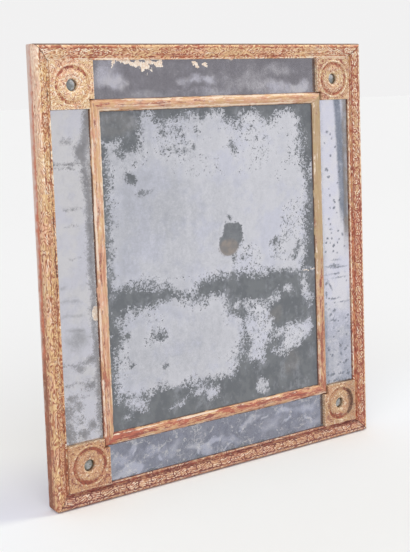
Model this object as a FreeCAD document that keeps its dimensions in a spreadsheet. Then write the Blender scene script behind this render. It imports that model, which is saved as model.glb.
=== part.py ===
import FreeCAD, Part
import math
import os
from types import SimpleNamespace

import Sketcher
from FreeCAD import Placement, Rotation, Vector

# Wall mirror in a gilded wooden frame: a ground frame of four lapped boards, five mirror plates laid on
# its front, mitred outer and inner mouldings over the plates' edges, four corner blocks with a turned
# rosette and a small round mirror each, back boards, and a swinging ring to hang it by.
# X runs to the viewer's right, Z up, and the viewer stands on the -Y side.
# The origin is the middle of the bottom edge of the ground frame.

# Driving sizes in millimetres. A rise is counted forward from the front of the ground frame.
SIZES = {
    # whole object
    "overall_width": 680.0,
    "overall_height": 755.0,
    "bottom_corner_radius": 7.0,
    "top_corner_radius": 2.5,
    # layout of the front
    "face_width": 26.5,
    "side_border": 68.5,
    "end_border": 62.5,
    "bar_width": 21.3,
    "block_side": 77.5,
    # ground frame
    "ground_thickness": 15.0,
    "opening_setback": 1.0,
    "rebate_width": 8.0,
    "rebate_depth": 6.5,
    # mirror plates
    "glass_thickness": 3.0,
    "plate_gap": 2.0,
    "plate_overlap": 4.0,
    "plate_clearance": 0.5,
    # outer moulding section, from the outer edge inward
    "shoulder_start": 6.0,
    "shoulder_width": 3.3,
    "shoulder_rise": 14.8,
    "crown_width": 7.4,
    "crown_rise": 15.7,
    "crown_radius": 3.6,
    "field_width": 20.4,
    "field_rise": 9.2,
    "field_radius": 60.0,
    "groove_rise": 5.8,
    "bead_width": 3.0,
    "bead_radius": 1.7,
    "lip_width": 5.0,
    "lip_clearance": 0.3,
    # inner moulding section
    "bar_edge": 1.2,
    "bar_height": 7.5,
    # corner block and rosette
    "block_thickness": 10.5,
    "block_clearance": 0.2,
    "bead_ring_inner": 32.0,
    "bead_ring_width": 2.4,
    "bead_ring_arc": 1.3,
    "cove_inner": 25.8,
    "cove_width": 5.6,
    "cove_wall": 1.5,
    "cove_arc": 3.4,
    "torus_width": 12.4,
    "torus_arc": 15.5,
    "dish_drop": 2.2,
    "dish_arc": 4.5,
    "eye_radius": 10.0,
    "disc_radius": 13.0,
    # pegs, nails and brads
    "fastener_clearance": 0.05,
    "peg_radius": 3.0,
    "peg_inset": 30.0,
    "peg_spacing": 56.0,
    "nail_radius": 1.2,
    "nail_bite": 6.5,
    "nail_offset": 24.0,
    "brad_radius": 0.8,
    "brad_bite": 6.8,
    "brad_rise": 8.8,
    "brad_inset": 13.0,
    "outer_brad_end": 70.0,
    "inner_brad_end": 60.0,
    "board_nail_radius": 0.9,
    "board_nail_bite": 6.0,
    "board_nail_inset": 25.0,
    "head_thickness": 0.8,
    # back boards
    "board_thickness": 6.0,
    "board_gap": 1.0,
    "board_clearance": 0.5,
    # hanging strap, its screws and the ring
    "strap_width": 16.0,
    "strap_thickness": 2.0,
    "strap_length": 60.0,
    "strap_board_gap": 1.8,
    "eye_clearance": 0.06,
    "ring_wire": 2.0,
    "ring_bend": 4.0,
    "ring_middle_gap": 1.4,
    "ring_side_clearance": 0.6,
    "ring_standoff": 0.4,
    "screw_radius": 1.9,
    "screw_bite": 9.0,
    "screw_head_radius": 3.6,
    "screw_head_height": 1.8,
    "screw_slot": 0.9,
    "screw_ring_gap": 5.8,
    # how far a cut runs past the face it opens
    "overrun": 5.0,
}

# Ratios and counts
HEAD_SHARE = 1.6
HEAD_ANGLE = 25.0
OUTER_BRADS = 5
INNER_BRADS = 4
BOARDS = 3


class Size:
    """A size with its number and the sheet expression that gives it, so that sums keep both."""

    def __init__(self, value, text):
        self.value = value
        self.text = text

    def joined(self, sign, other, value):
        return Size(value, "(" + self.text + " " + sign + " " + other.text + ")")

    def __add__(self, other):
        other = size_of(other)
        return self.joined("+", other, self.value + other.value)

    def __sub__(self, other):
        other = size_of(other)
        return self.joined("-", other, self.value - other.value)

    def __mul__(self, other):
        other = size_of(other)
        return self.joined("*", other, self.value * other.value)

    def __truediv__(self, other):
        other = size_of(other)
        return self.joined("/", other, self.value / other.value)

    def __neg__(self):
        return self * -1


def size_of(number):
    """A plain number as a Size; a Size stays as it is."""
    if isinstance(number, Size):
        return number
    return Size(float(number), "(" + repr(float(number)) + ")")


doc = FreeCAD.newDocument("mirror")
sheet = doc.addObject("Spreadsheet::Sheet", "sizes")
for row, (alias, number) in enumerate(SIZES.items(), start=1):
    sheet.set("A" + str(row), alias)
    sheet.set("B" + str(row), str(number))
    sheet.setAlias("B" + str(row), alias)
doc.recompute()
s = SimpleNamespace(**{alias: Size(sheet.get(alias), "sizes." + alias) for alias in SIZES})
ZERO = size_of(0)


def arc_radius(chord, rise):
    """Radius of the arc that rises by this much over a chord."""
    half = chord / 2
    return (half * half + rise * rise) / (rise * 2)


# Places that several pieces share
half_width = s.overall_width / 2
half_ground = s.ground_thickness / 2
stile_width = s.face_width + s.side_border + s.bar_width - s.opening_setback
rail_width = s.face_width + s.end_border + s.bar_width - s.opening_setback
bar_left = half_width - s.face_width - s.side_border
bar_bottom = s.face_width + s.end_border
joint_x = bar_left - s.bar_width / 2
joint_bottom = bar_bottom + s.bar_width / 2
joint_top = s.overall_height - joint_bottom
block_middle = s.face_width + s.block_clearance + s.block_side / 2
block_end = s.face_width + s.block_clearance + s.block_side
plate_outer = s.face_width - s.plate_overlap
opening_half = half_width - stile_width
board_back = half_ground - s.rebate_depth + s.board_thickness
board_end = rail_width - s.rebate_width + s.board_clearance
hinge_height = s.overall_height - board_end + s.strap_board_gap + s.strap_length
hinge_standoff = s.strap_thickness + s.ring_standoff + s.ring_wire

pieces = []


# Building helpers


def bind(item, name, size):
    """Sets a property from a sheet expression."""
    item.setExpression(name, size_of(size).text)


def new_body(label):
    body = doc.addObject("PartDesign::Body", label)
    body.Label = label
    pieces.append(body)
    return body


def place(body, x, y, z):
    """Puts a body's own origin at a place in the mirror."""
    x, y, z = size_of(x), size_of(y), size_of(z)
    body.Placement = Placement(Vector(x.value, y.value, z.value), Rotation())
    bind(body, "Placement.Base.x", x)
    bind(body, "Placement.Base.y", y)
    bind(body, "Placement.Base.z", z)


def new_sketch(body, name, role, depth=ZERO):
    """A sketch on one of the body's own planes, moved along that plane's normal by depth."""
    plane = next(item for item in body.Origin.OriginFeatures if item.Role == role)
    sketch = body.newObject("Sketcher::SketchObject", body.Label + "_" + name)
    sketch.AttachmentSupport = [(plane, "")]
    sketch.MapMode = "FlatFace"
    depth = size_of(depth)
    sketch.AttachmentOffset = Placement(Vector(0, 0, depth.value), Rotation())
    bind(sketch, "AttachmentOffset.Base.z", depth)
    return sketch


def hold(sketch, size, *constraint):
    """Adds a constraint whose value is a Size."""
    row = sketch.addConstraint(Sketcher.Constraint(*constraint, size.value))
    sketch.setExpression("Constraints[" + str(row) + "]", size.text)


def hold_point(sketch, geometry, end, x, y):
    """Ties a point of the sketch to its place from the sketch's origin."""
    hold(sketch, x, "DistanceX", -1, 1, geometry, end)
    hold(sketch, y, "DistanceY", -1, 1, geometry, end)


def arc_between(start, end, radius, turn):
    """The arc under half a circle from start to end. turn is 1 anticlockwise and -1 clockwise."""
    chord = end - start
    across = Vector(-chord.y, chord.x, 0).normalize()
    reach = math.sqrt(max(radius**2 - (chord.Length / 2) ** 2, 0))
    centre = (start + end) / 2 + across * reach * turn
    first = math.atan2(start.y - centre.y, start.x - centre.x)
    last = math.atan2(end.y - centre.y, end.x - centre.x)
    if turn < 0:
        first, last = last, first
    if last < first:
        last += 2 * math.pi
    return Part.ArcOfCircle(Part.Circle(centre, Vector(0, 0, 1), radius), first, last)


def draw_outline(sketch, corners):
    """A closed outline. A corner is (x, y), or (x, y, radius, turn) where an arc leaves it."""
    corners = [tuple(size_of(part) for part in corner[:3]) + tuple(corner[3:]) for corner in corners]
    edges = []
    for index, corner in enumerate(corners):
        following = corners[(index + 1) % len(corners)]
        start = Vector(corner[0].value, corner[1].value, 0)
        end = Vector(following[0].value, following[1].value, 0)
        if len(corner) == 2:
            row = sketch.addGeometry(Part.LineSegment(start, end), False)
            edges.append((row, 1, 2))
        else:
            radius, turn = corner[2:]
            row = sketch.addGeometry(arc_between(start, end, radius.value, turn), False)
            edges.append((row, 1, 2) if turn > 0 else (row, 2, 1))
            hold(sketch, radius, "Radius", row)
    for index, (row, first, last) in enumerate(edges):
        after, after_first, _ = edges[(index + 1) % len(edges)]
        sketch.addConstraint(Sketcher.Constraint("Coincident", row, last, after, after_first))
        hold_point(sketch, row, first, corners[index][0], corners[index][1])


def draw_box(sketch, x_start, x_end, y_start, y_end):
    draw_outline(sketch, [(x_start, y_start), (x_end, y_start), (x_end, y_end), (x_start, y_end)])


def draw_circles(sketch, centres, radius):
    for x, y in centres:
        x, y = size_of(x), size_of(y)
        circle = Part.Circle(Vector(x.value, y.value, 0), Vector(0, 0, 1), radius.value)
        row = sketch.addGeometry(circle, False)
        hold_point(sketch, row, 3, x, y)
        hold(sketch, radius, "Radius", row)


def add_feature(body, kind, name, sketch, length, both_ways=False, reverse=False, taper=0.0):
    """A pad or a pocket of a sketch."""
    item = body.newObject("PartDesign::" + kind, body.Label + "_" + name)
    item.Profile = sketch
    if both_ways:
        item.SideType = "Symmetric"
    item.Reversed = reverse
    item.TaperAngle = taper
    bind(item, "Length", length)
    body.Tip = item


def pad(body, name, y, length, draw, forward=True, taper=0.0):
    """Adds material from the plane at y, towards the front (-Y) or the back."""
    sketch = new_sketch(body, name + "_sketch", "XZ_Plane", -size_of(y))
    draw(sketch)
    add_feature(body, "Pad", name, sketch, length, reverse=not forward, taper=taper)


def cut(body, name, y, length, draw, forward=True):
    """Takes material away from the plane at y, towards the front (-Y) or the back."""
    sketch = new_sketch(body, name + "_sketch", "XZ_Plane", -size_of(y))
    draw(sketch)
    add_feature(body, "Pocket", name, sketch, length, reverse=forward)


def cut_through(body, name, draw):
    """Cuts right through in Y, past the front of the thickest piece and past the back."""
    sketch = new_sketch(body, name + "_sketch", "XZ_Plane")
    draw(sketch)
    reach = (s.ground_thickness + s.crown_rise + s.overrun) * 2
    add_feature(body, "Pocket", name, sketch, reach, both_ways=True)


def pad_round(body, name, centres, radius, y, length, forward=True, taper=0.0):
    pad(body, name, y, length, lambda sketch: draw_circles(sketch, centres, radius), forward, taper)


def drill(body, name, centres, radius, y, length, forward=True):
    cut(body, name, y, length, lambda sketch: draw_circles(sketch, centres, radius), forward)


def turned(body, kind, name, outlines):
    """Turns outlines of (radius, rise) about the body's Y axis, as added or as taken material."""
    sketch = new_sketch(body, name + "_sketch", "YZ_Plane")
    for outline in outlines:
        draw_outline(sketch, [(-size_of(corner[1]), corner[0]) + tuple(corner[2:]) for corner in outline])
    item = body.newObject("PartDesign::" + kind, body.Label + "_" + name)
    item.Profile = sketch
    item.ReferenceAxis = (sketch, ["H_Axis"])
    item.Angle = 360.0
    body.Tip = item


def at_side(side, inward):
    """X of a place this far inward from the left (-1) or right (1) outer edge."""
    return (half_width - inward) * side


def at_end(top, inward):
    """Z of a place this far inward from the top or bottom outer edge."""
    if top:
        return s.overall_height - inward
    return size_of(inward)


def round_corner(body, name, side, top):
    """Rounds an outer corner of the mirror, as seen from the front."""
    radius = s.top_corner_radius if top else s.bottom_corner_radius
    turn = -side if top else side
    cut_through(
        body,
        name,
        lambda sketch: draw_outline(
            sketch,
            [
                (at_side(side, radius), at_end(top, -s.overrun)),
                (at_side(side, radius), at_end(top, ZERO), radius, turn),
                (at_side(side, ZERO), at_end(top, radius)),
                (at_side(side, -s.overrun), at_end(top, radius)),
                (at_side(side, -s.overrun), at_end(top, -s.overrun)),
            ],
        ),
    )


def spread(first, last, count):
    """count places from first to last, evenly."""
    return [first + (last - first) * (index / (count - 1)) for index in range(count)]


# Places of the fasteners, as (x, z)

CORNERS = [(side, top) for side in (-1, 1) for top in (False, True)]
SIDES = ("left", "right", "bottom", "top")


def sides_of(corner):
    side, top = corner
    return ("left" if side < 0 else "right", "top" if top else "bottom")


def peg_places(corner):
    side, top = corner
    near = s.peg_inset
    far = s.peg_inset + s.peg_spacing
    return [(at_side(side, near), at_end(top, far)), (at_side(side, far), at_end(top, near))]


def nail_places(corner):
    """Two nails hold each corner block, on the line to the mirror's corner."""
    side, top = corner
    return [
        (at_side(side, block_middle + s.nail_offset * way), at_end(top, block_middle + s.nail_offset * way))
        for way in (-1, 1)
    ]


def outer_brads(side):
    if side in ("left", "right"):
        x = at_side(1 if side == "right" else -1, s.brad_inset)
        return [(x, z) for z in spread(s.outer_brad_end, s.overall_height - s.outer_brad_end, OUTER_BRADS)]
    z = at_end(side == "top", s.brad_inset)
    end = half_width - s.outer_brad_end
    return [(x, z) for x in spread(-end, end, OUTER_BRADS)]


def inner_brads(side):
    if side in ("left", "right"):
        x = joint_x if side == "right" else -joint_x
        return [(x, z) for z in spread(joint_bottom + s.inner_brad_end, joint_top - s.inner_brad_end, INNER_BRADS)]
    end = joint_x - s.inner_brad_end
    return [(x, at_end(side == "top", joint_bottom)) for x in spread(-end, end, INNER_BRADS)]


def lies_on_stile(spot):
    return abs(spot[0].value) > opening_half.value


board_reach = opening_half + s.rebate_width - s.board_clearance
board_width = (board_reach * 2 - s.board_gap * (BOARDS - 1)) / BOARDS


def board_left(index):
    return (board_width + s.board_gap) * index - board_reach


def board_nails(index, top):
    """Two nails at one end of a back board, in the middle of the part that lies in the rebate."""
    left = board_left(index)
    z = at_end(top, board_end + (s.rebate_width - s.board_clearance) / 2)
    return [(left + s.board_nail_inset, z), (left + board_width - s.board_nail_inset, z)]


# The ring hangs over the strap's upper half, and the screws lie below it
ring_straight = s.strap_width / 2 + s.ring_side_clearance
ring_half = ring_straight + s.ring_bend
ring_reach = s.strap_length / 2 - s.ring_middle_gap
lower_screw = s.strap_width / 2 - s.strap_length
upper_screw = -ring_reach - s.screw_ring_gap - s.screw_head_radius
screw_drops = [(ZERO, lower_screw), (ZERO, upper_screw)]
screw_places = [(x, hinge_height + z) for x, z in screw_drops]


# Ground frame


def drill_for_corners(body, side):
    """Holes through a lapped board for the pegs and for the nails of the corner blocks."""
    near = [corner for corner in CORNERS if side in sides_of(corner)]
    start = half_ground + s.overrun
    through = s.ground_thickness + s.overrun * 2
    pegs = [spot for corner in near for spot in peg_places(corner)]
    drill(body, "peg_holes", pegs, s.peg_radius + s.fastener_clearance, start, through)
    nails = [spot for corner in near for spot in nail_places(corner)]
    drill(body, "nail_holes", nails, s.nail_radius + s.fastener_clearance, start, through)
    return nails


def drill_for_brads(body, spots):
    """Blind holes from the front for the brads of the mouldings."""
    drill(
        body,
        "brad_holes",
        spots,
        s.brad_radius + s.fastener_clearance,
        -half_ground - s.overrun,
        s.overrun + s.brad_bite + s.fastener_clearance,
        forward=False,
    )


def cut_rebate(body, draw):
    """Lowers the back of a board along the opening, where the back boards lie."""
    cut(body, "rebate", half_ground - s.rebate_depth, s.rebate_depth + s.overrun, draw, forward=False)


def build_stile(side):
    """An upright board, full height. At its ends only the front half remains, in front of the rails."""
    body = new_body(side + "_stile")
    way = 1 if side == "right" else -1
    pad(
        body,
        "board",
        half_ground,
        s.ground_thickness,
        lambda sketch: draw_box(sketch, at_side(way, ZERO), at_side(way, stile_width), ZERO, s.overall_height),
    )
    for top in (False, True):
        cut(
            body,
            "upper_lap" if top else "lower_lap",
            ZERO,
            half_ground + s.overrun,
            lambda sketch, top=top: draw_box(
                sketch,
                at_side(way, -s.overrun),
                at_side(way, stile_width + s.overrun),
                at_end(top, -s.overrun),
                at_end(top, rail_width),
            ),
            forward=False,
        )
    cut_rebate(
        body,
        lambda sketch: draw_box(
            sketch,
            at_side(way, stile_width - s.rebate_width),
            at_side(way, stile_width + s.overrun),
            ZERO,
            s.overall_height,
        ),
    )
    drill_for_corners(body, side)
    crossing = [spot for end in ("bottom", "top") for spot in outer_brads(end) if lies_on_stile(spot)]
    crossing = [spot for spot in crossing if spot[0].value * way > 0]
    drill_for_brads(body, outer_brads(side) + inner_brads(side) + crossing)
    round_corner(body, "lower_round", way, False)
    round_corner(body, "upper_round", way, True)


def build_rail(side):
    """A level board, full width. At its ends only the back half remains, behind the stiles."""
    body = new_body(side + "_rail")
    top = side == "top"
    pad(
        body,
        "board",
        half_ground,
        s.ground_thickness,
        lambda sketch: draw_box(sketch, -half_width, half_width, at_end(top, ZERO), at_end(top, rail_width)),
    )
    for way, name in ((-1, "left_lap"), (1, "right_lap")):
        cut(
            body,
            name,
            ZERO,
            half_ground + s.overrun,
            lambda sketch, way=way: draw_box(
                sketch,
                at_side(way, -s.overrun),
                at_side(way, stile_width),
                at_end(top, -s.overrun),
                at_end(top, rail_width + s.overrun),
            ),
        )
    reach = opening_half + s.rebate_width
    cut_rebate(
        body,
        lambda sketch: draw_box(
            sketch, -reach, reach, at_end(top, rail_width - s.rebate_width), at_end(top, rail_width + s.overrun)
        ),
    )
    nails = drill_for_corners(body, side)
    head = s.head_thickness + s.fastener_clearance
    drill(
        body,
        "nail_head_seats",
        nails,
        s.nail_radius * HEAD_SHARE + s.fastener_clearance,
        half_ground - head,
        head + s.overrun,
        forward=False,
    )
    drill_for_brads(body, [spot for spot in outer_brads(side) if not lies_on_stile(spot)] + inner_brads(side))
    drill(
        body,
        "board_nail_holes",
        [spot for index in range(BOARDS) for spot in board_nails(index, top)],
        s.board_nail_radius + s.fastener_clearance,
        half_ground + s.overrun,
        s.overrun + s.rebate_depth + s.board_nail_bite + s.fastener_clearance,
    )
    if top:
        drill(
            body,
            "screw_holes",
            screw_places,
            s.screw_radius + s.fastener_clearance,
            half_ground + s.overrun,
            s.overrun + s.screw_bite + s.fastener_clearance,
        )
    round_corner(body, "left_round", -1, top)
    round_corner(body, "right_round", 1, top)


# Mouldings


def lay_section(side, corners, outer):
    """Turns a section of (width, rise) into sketch corners for the moulding on this side. outer is how far
    the section's outer edge lies inside the edge of the mirror."""
    placed = []
    for corner in corners:
        width, rise = size_of(corner[0]), size_of(corner[1])
        y = -half_ground - rise
        if side == "left":
            spot, turn = (at_side(-1, outer + width), y), -1
        elif side == "right":
            spot, turn = (at_side(1, outer + width), y), 1
        elif side == "bottom":
            spot, turn = (y, at_end(False, outer + width)), 1
        else:
            spot, turn = (y, at_end(True, outer + width)), -1
        placed.append(spot + ((corner[2], corner[3] * turn) if len(corner) > 2 else ()))
    return placed


def build_bar(label, side, section, outer_x, outer_z, width):
    """A mitred moulding on one side of a rectangle whose outer edge lies outer_x and outer_z inside the
    edges of the mirror."""
    body = new_body(label)
    upright = side in ("left", "right")
    role = "XY_Plane" if upright else "YZ_Plane"
    start = outer_z if upright else -half_width + outer_x
    length = s.overall_height - outer_z * 2 if upright else s.overall_width - outer_x * 2
    sketch = new_sketch(body, "section", role, start)
    draw_outline(sketch, lay_section(side, section, outer_x if upright else outer_z))
    add_feature(body, "Pad", "length", sketch, length)
    over = s.overrun
    if upright:
        way = -1 if side == "left" else 1
        ends = [(way, top, True) for top in (False, True)]
    else:
        ends = [(way, side == "top", False) for way in (-1, 1)]
    for way, top, keep_side in ends:
        # the mitre runs from the rectangle's corner inward; the waste lies beyond it
        first = (at_side(way, outer_x - over), at_end(top, outer_z - over))
        last = (at_side(way, outer_x + width + over), at_end(top, outer_z + width + over))
        waste = (last[0], first[1]) if keep_side else (first[0], last[1])
        name = ("upper" if top else "lower") if keep_side else ("left" if way < 0 else "right")
        cut_through(body, name + "_mitre", lambda sketch, corners=(first, waste, last): draw_outline(sketch, corners))
    return body


def seat_brads(body, spots, rise):
    """Blind holes from behind, from this rise above the ground up to the brads' sunk heads."""
    start = -half_ground - rise + s.overrun
    head = s.brad_rise - s.head_thickness
    drill(
        body,
        "brad_holes",
        spots,
        s.brad_radius + s.fastener_clearance,
        start,
        s.overrun - rise + s.brad_rise,
    )
    drill(
        body,
        "brad_head_seats",
        spots,
        s.brad_radius * HEAD_SHARE + s.fastener_clearance,
        -half_ground - head + s.fastener_clearance,
        s.head_thickness + s.fastener_clearance * 2,
    )


def build_outer_moulding(side):
    lip = s.glass_thickness + s.lip_clearance
    seat = s.face_width - s.lip_width
    climb = s.shoulder_rise - s.shoulder_start
    # the shoulder's arc leaves the flat outer side without a corner
    shoulder = (s.shoulder_width * s.shoulder_width + climb * climb) / (s.shoulder_width * 2)
    section = [
        (ZERO, ZERO),
        (ZERO, s.shoulder_start, shoulder, -1),
        (s.shoulder_width, s.shoulder_rise, s.crown_radius, -1),
        (s.crown_width, s.crown_rise, s.field_radius, -1),
        (s.field_width, s.field_rise),
        (s.field_width, s.groove_rise),
        (s.face_width - s.bead_width, s.groove_rise, s.bead_radius, -1),
        (s.face_width, s.groove_rise),
        (s.face_width, lip),
        (seat, lip),
        (seat, ZERO),
    ]
    body = build_bar("outer_moulding_" + side, side, section, ZERO, ZERO, s.face_width)
    seat_brads(body, outer_brads(side), ZERO)
    if side in ("left", "right"):
        way = -1 if side == "left" else 1
        corners = [(way, False), (way, True)]
    else:
        corners = [(way, side == "top") for way in (-1, 1)]
    for way, top in corners:
        round_corner(body, "_".join(reversed(sides_of((way, top)))) + "_round", way, top)


def build_inner_moulding(side):
    low = s.glass_thickness
    edge = low + s.bar_edge
    radius = arc_radius(s.bar_width, s.bar_height - s.bar_edge)
    section = [(ZERO, low), (ZERO, edge, radius, -1), (s.bar_width, edge), (s.bar_width, low)]
    outer_x = s.face_width + s.side_border
    body = build_bar("inner_moulding_" + side, side, section, outer_x, bar_bottom, s.bar_width)
    seat_brads(body, inner_brads(side), low)


# Corner blocks


def corner_name(corner):
    return "_".join(reversed(sides_of(corner)))


def build_block(corner):
    """A square block with a turned rosette. The body's origin is the middle of the block's back."""
    side, top = corner
    body = new_body("corner_block_" + corner_name(corner))
    half = s.block_side / 2
    up = -1 if top else 1
    face = s.block_thickness
    pad(body, "block", ZERO, face, lambda sketch: draw_box(sketch, -half, half, -half, half))
    torus_inner = s.cove_inner - s.torus_width
    buried = face - s.dish_drop / 2
    bead_outer = s.bead_ring_inner + s.bead_ring_width
    raised = [
        [
            (torus_inner, buried),
            (s.cove_inner, buried),
            (s.cove_inner, face, s.torus_arc, 1),
            (torus_inner, face),
        ],
        [
            (s.bead_ring_inner, buried),
            (bead_outer, buried),
            (bead_outer, face, s.bead_ring_arc, 1),
            (s.bead_ring_inner, face),
        ],
    ]
    turned(body, "Revolution", "raised_rings", raised)
    cove_outer = s.cove_inner + s.cove_width
    floor = face - s.cove_wall
    above = face + s.overrun
    dish_low = face - s.dish_drop
    sunk = [
        [
            (s.cove_inner, above),
            (s.cove_inner, floor, s.cove_arc, 1),
            (cove_outer, floor),
            (cove_outer, above),
        ],
        [
            (ZERO, above),
            (ZERO, dish_low),
            (s.eye_radius, dish_low, s.dish_arc, 1),
            (torus_inner, face),
            (torus_inner, above),
        ],
    ]
    turned(body, "Groove", "sunk_rings", sunk)
    middle = [(ZERO, ZERO)]
    drill(body, "eye", middle, s.eye_radius, s.overrun, s.overrun + face)
    drill(
        body,
        "disc_seat",
        middle,
        s.disc_radius + s.block_clearance,
        s.overrun,
        s.overrun + s.glass_thickness + s.block_clearance,
    )
    # room for the mitred corner of the inner moulding
    notch_x = s.face_width + s.side_border - s.block_clearance - block_middle
    notch_z = bar_bottom - s.block_clearance - block_middle
    cut_through(
        body,
        "notch",
        lambda sketch: draw_box(
            sketch, notch_x * -side, (half + s.overrun) * -side, notch_z * up, (half + s.overrun) * up
        ),
    )
    spots = [(s.nail_offset * way * -side, s.nail_offset * way * up) for way in (-1, 1)]
    drill(
        body,
        "nail_holes",
        spots,
        s.nail_radius + s.fastener_clearance,
        s.overrun,
        s.overrun + s.nail_bite + s.fastener_clearance,
    )
    place(body, at_side(side, block_middle), -half_ground, at_end(top, block_middle))


def build_disc(corner):
    side, top = corner
    body = new_body("corner_mirror_" + corner_name(corner))
    pad_round(body, "disc", [(ZERO, ZERO)], s.disc_radius, ZERO, s.glass_thickness)
    place(body, at_side(side, block_middle), -half_ground, at_end(top, block_middle))


# Mirror plates and back boards


def build_plate(label, left, right, bottom, top):
    body = new_body(label)
    pad(body, "plate", -half_ground, s.glass_thickness, lambda sketch: draw_box(sketch, left, right, bottom, top))


def build_board(index, name):
    body = new_body("backboard_" + name)
    left = board_left(index)
    pad(
        body,
        "board",
        board_back,
        s.board_thickness,
        lambda sketch: draw_box(sketch, left, left + board_width, board_end, s.overall_height - board_end),
    )
    nails = board_nails(index, False) + board_nails(index, True)
    through = s.board_thickness + s.overrun * 2
    drill(body, "nail_holes", nails, s.board_nail_radius + s.fastener_clearance, board_back + s.overrun, through)
    head = s.head_thickness + s.fastener_clearance
    drill(
        body,
        "nail_head_seats",
        nails,
        s.board_nail_radius * HEAD_SHARE + s.fastener_clearance,
        board_back - head,
        head + s.overrun,
        forward=False,
    )


# Fasteners


def build_nails(label, spots, radius, y, length, forward=True):
    """Cut nails, blunt at the end, with a flat head whose top lies at y."""
    body = new_body(label)
    pad_round(body, "heads", spots, radius * HEAD_SHARE, y, s.head_thickness, forward)
    pad_round(body, "shanks", spots, radius, y, length, forward)


def build_screws():
    body = new_body("hanger_screws")
    seat = half_ground + s.strap_thickness
    pad_round(body, "shanks", screw_places, s.screw_radius, seat, s.strap_thickness + s.screw_bite)
    pad_round(
        body,
        "heads",
        screw_places,
        s.screw_head_radius,
        seat,
        s.screw_head_height,
        forward=False,
        taper=-HEAD_ANGLE,
    )
    half = s.screw_slot / 2
    reach = s.screw_head_radius + s.overrun

    def draw_slots(sketch):
        for x, z in screw_places:
            draw_box(sketch, x - half, x + half, z - reach, z + reach)

    cut(body, "slots", seat + s.screw_head_height / 2, s.overrun, draw_slots, forward=False)


# Hanging strap and ring


def build_strap():
    """A flat strap with a rolled eye. The body's origin is the middle of the eye."""
    body = new_body("hanger_strap")
    half = s.strap_width / 2
    back = -hinge_standoff + s.strap_thickness
    foot = -s.strap_length
    pad(
        body,
        "plate",
        back,
        s.strap_thickness,
        lambda sketch: draw_outline(
            sketch,
            [
                (-half, ZERO),
                (-half, foot + half, half, 1),
                (ZERO, foot, half, 1),
                (half, foot + half),
                (half, ZERO),
            ],
        ),
    )
    inner = s.ring_wire + s.eye_clearance
    for kind, name, radius in (("Pad", "roll", inner + s.strap_thickness), ("Pocket", "bore", inner)):
        sketch = new_sketch(body, name + "_sketch", "YZ_Plane")
        draw_circles(sketch, [(ZERO, ZERO)], radius)
        add_feature(body, kind, name, sketch, s.strap_width, both_ways=True)
    drill(
        body,
        "screw_holes",
        screw_drops,
        s.screw_radius + s.fastener_clearance,
        back + s.overrun,
        s.strap_thickness + s.overrun * 2,
    )
    place(body, ZERO, half_ground + hinge_standoff, hinge_height)


def build_ring():
    """A closed wire loop, straight where it passes through the eye, hanging down from it."""
    body = new_body("hanger_ring")
    drop = ring_reach - s.ring_wire - ring_half
    spine = new_sketch(body, "spine", "XZ_Plane")
    draw_outline(
        spine,
        [
            (ZERO, ZERO),
            (ring_straight, ZERO, s.ring_bend, -1),
            (ring_half, -s.ring_bend),
            (ring_half, -drop, ring_half, -1),
            (ZERO, -drop - ring_half, ring_half, -1),
            (-ring_half, -drop),
            (-ring_half, -s.ring_bend, s.ring_bend, -1),
            (-ring_straight, ZERO),
        ],
    )
    wire = new_sketch(body, "wire", "YZ_Plane")
    draw_circles(wire, [(ZERO, ZERO)], s.ring_wire)
    loop = body.newObject("PartDesign::AdditivePipe", "hanger_ring_loop")
    loop.Profile = wire
    loop.Spine = spine
    body.Tip = loop
    place(body, ZERO, half_ground + hinge_standoff, hinge_height)


for side in ("left", "right"):
    build_stile(side)
for side in ("bottom", "top"):
    build_rail(side)
for index, name in enumerate(("left", "middle", "right")):
    build_board(index, name)
for side in SIDES:
    build_outer_moulding(side)
    build_inner_moulding(side)
for corner in CORNERS:
    build_block(corner)
    build_disc(corner)

half_gap = s.plate_gap / 2
centre_x = joint_x - half_gap
build_plate("centre_mirror", -centre_x, centre_x, joint_bottom + half_gap, joint_top - half_gap)
plate_x = half_width - block_end - s.plate_clearance
for top, name in ((False, "bottom"), (True, "top")):
    outer, inner = at_end(top, plate_outer), at_end(top, joint_bottom - half_gap)
    build_plate("border_mirror_" + name, -plate_x, plate_x, outer, inner)
plate_z = block_end + s.plate_clearance
for side, name in ((-1, "left"), (1, "right")):
    outer, inner = at_side(side, plate_outer), (joint_x + half_gap) * side
    build_plate("border_mirror_" + name, outer, inner, plate_z, s.overall_height - plate_z)

pegs = new_body("corner_pegs")
peg_spots = [spot for corner in CORNERS for spot in peg_places(corner)]
pad_round(pegs, "shanks", peg_spots, s.peg_radius, half_ground, s.ground_thickness)
build_nails(
    "corner_block_nails",
    [spot for corner in CORNERS for spot in nail_places(corner)],
    s.nail_radius,
    half_ground,
    s.ground_thickness + s.nail_bite,
)
build_nails(
    "moulding_brads",
    [spot for side in SIDES for spot in outer_brads(side) + inner_brads(side)],
    s.brad_radius,
    -half_ground - s.brad_rise,
    s.brad_rise + s.brad_bite,
    forward=False,
)
build_nails(
    "backboard_nails",
    [spot for index in range(BOARDS) for top in (False, True) for spot in board_nails(index, top)],
    s.board_nail_radius,
    board_back,
    s.board_thickness + s.board_nail_bite,
)
build_strap()
build_screws()
build_ring()

doc.recompute()
for item in doc.Objects:
    if "Invalid" in item.State or "Error" in item.State:
        raise ValueError(item.Name + " did not build")
os.makedirs("parts", exist_ok=True)
for body in pieces:
    if body.Shape.isNull() or not body.Shape.isValid():
        raise ValueError(body.Label + " has no valid shape")
    body.Shape.exportStep("parts/" + body.Label + ".step")
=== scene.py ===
import math

import bpy
import numpy as np
from mathutils import Matrix, Vector, kdtree


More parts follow.
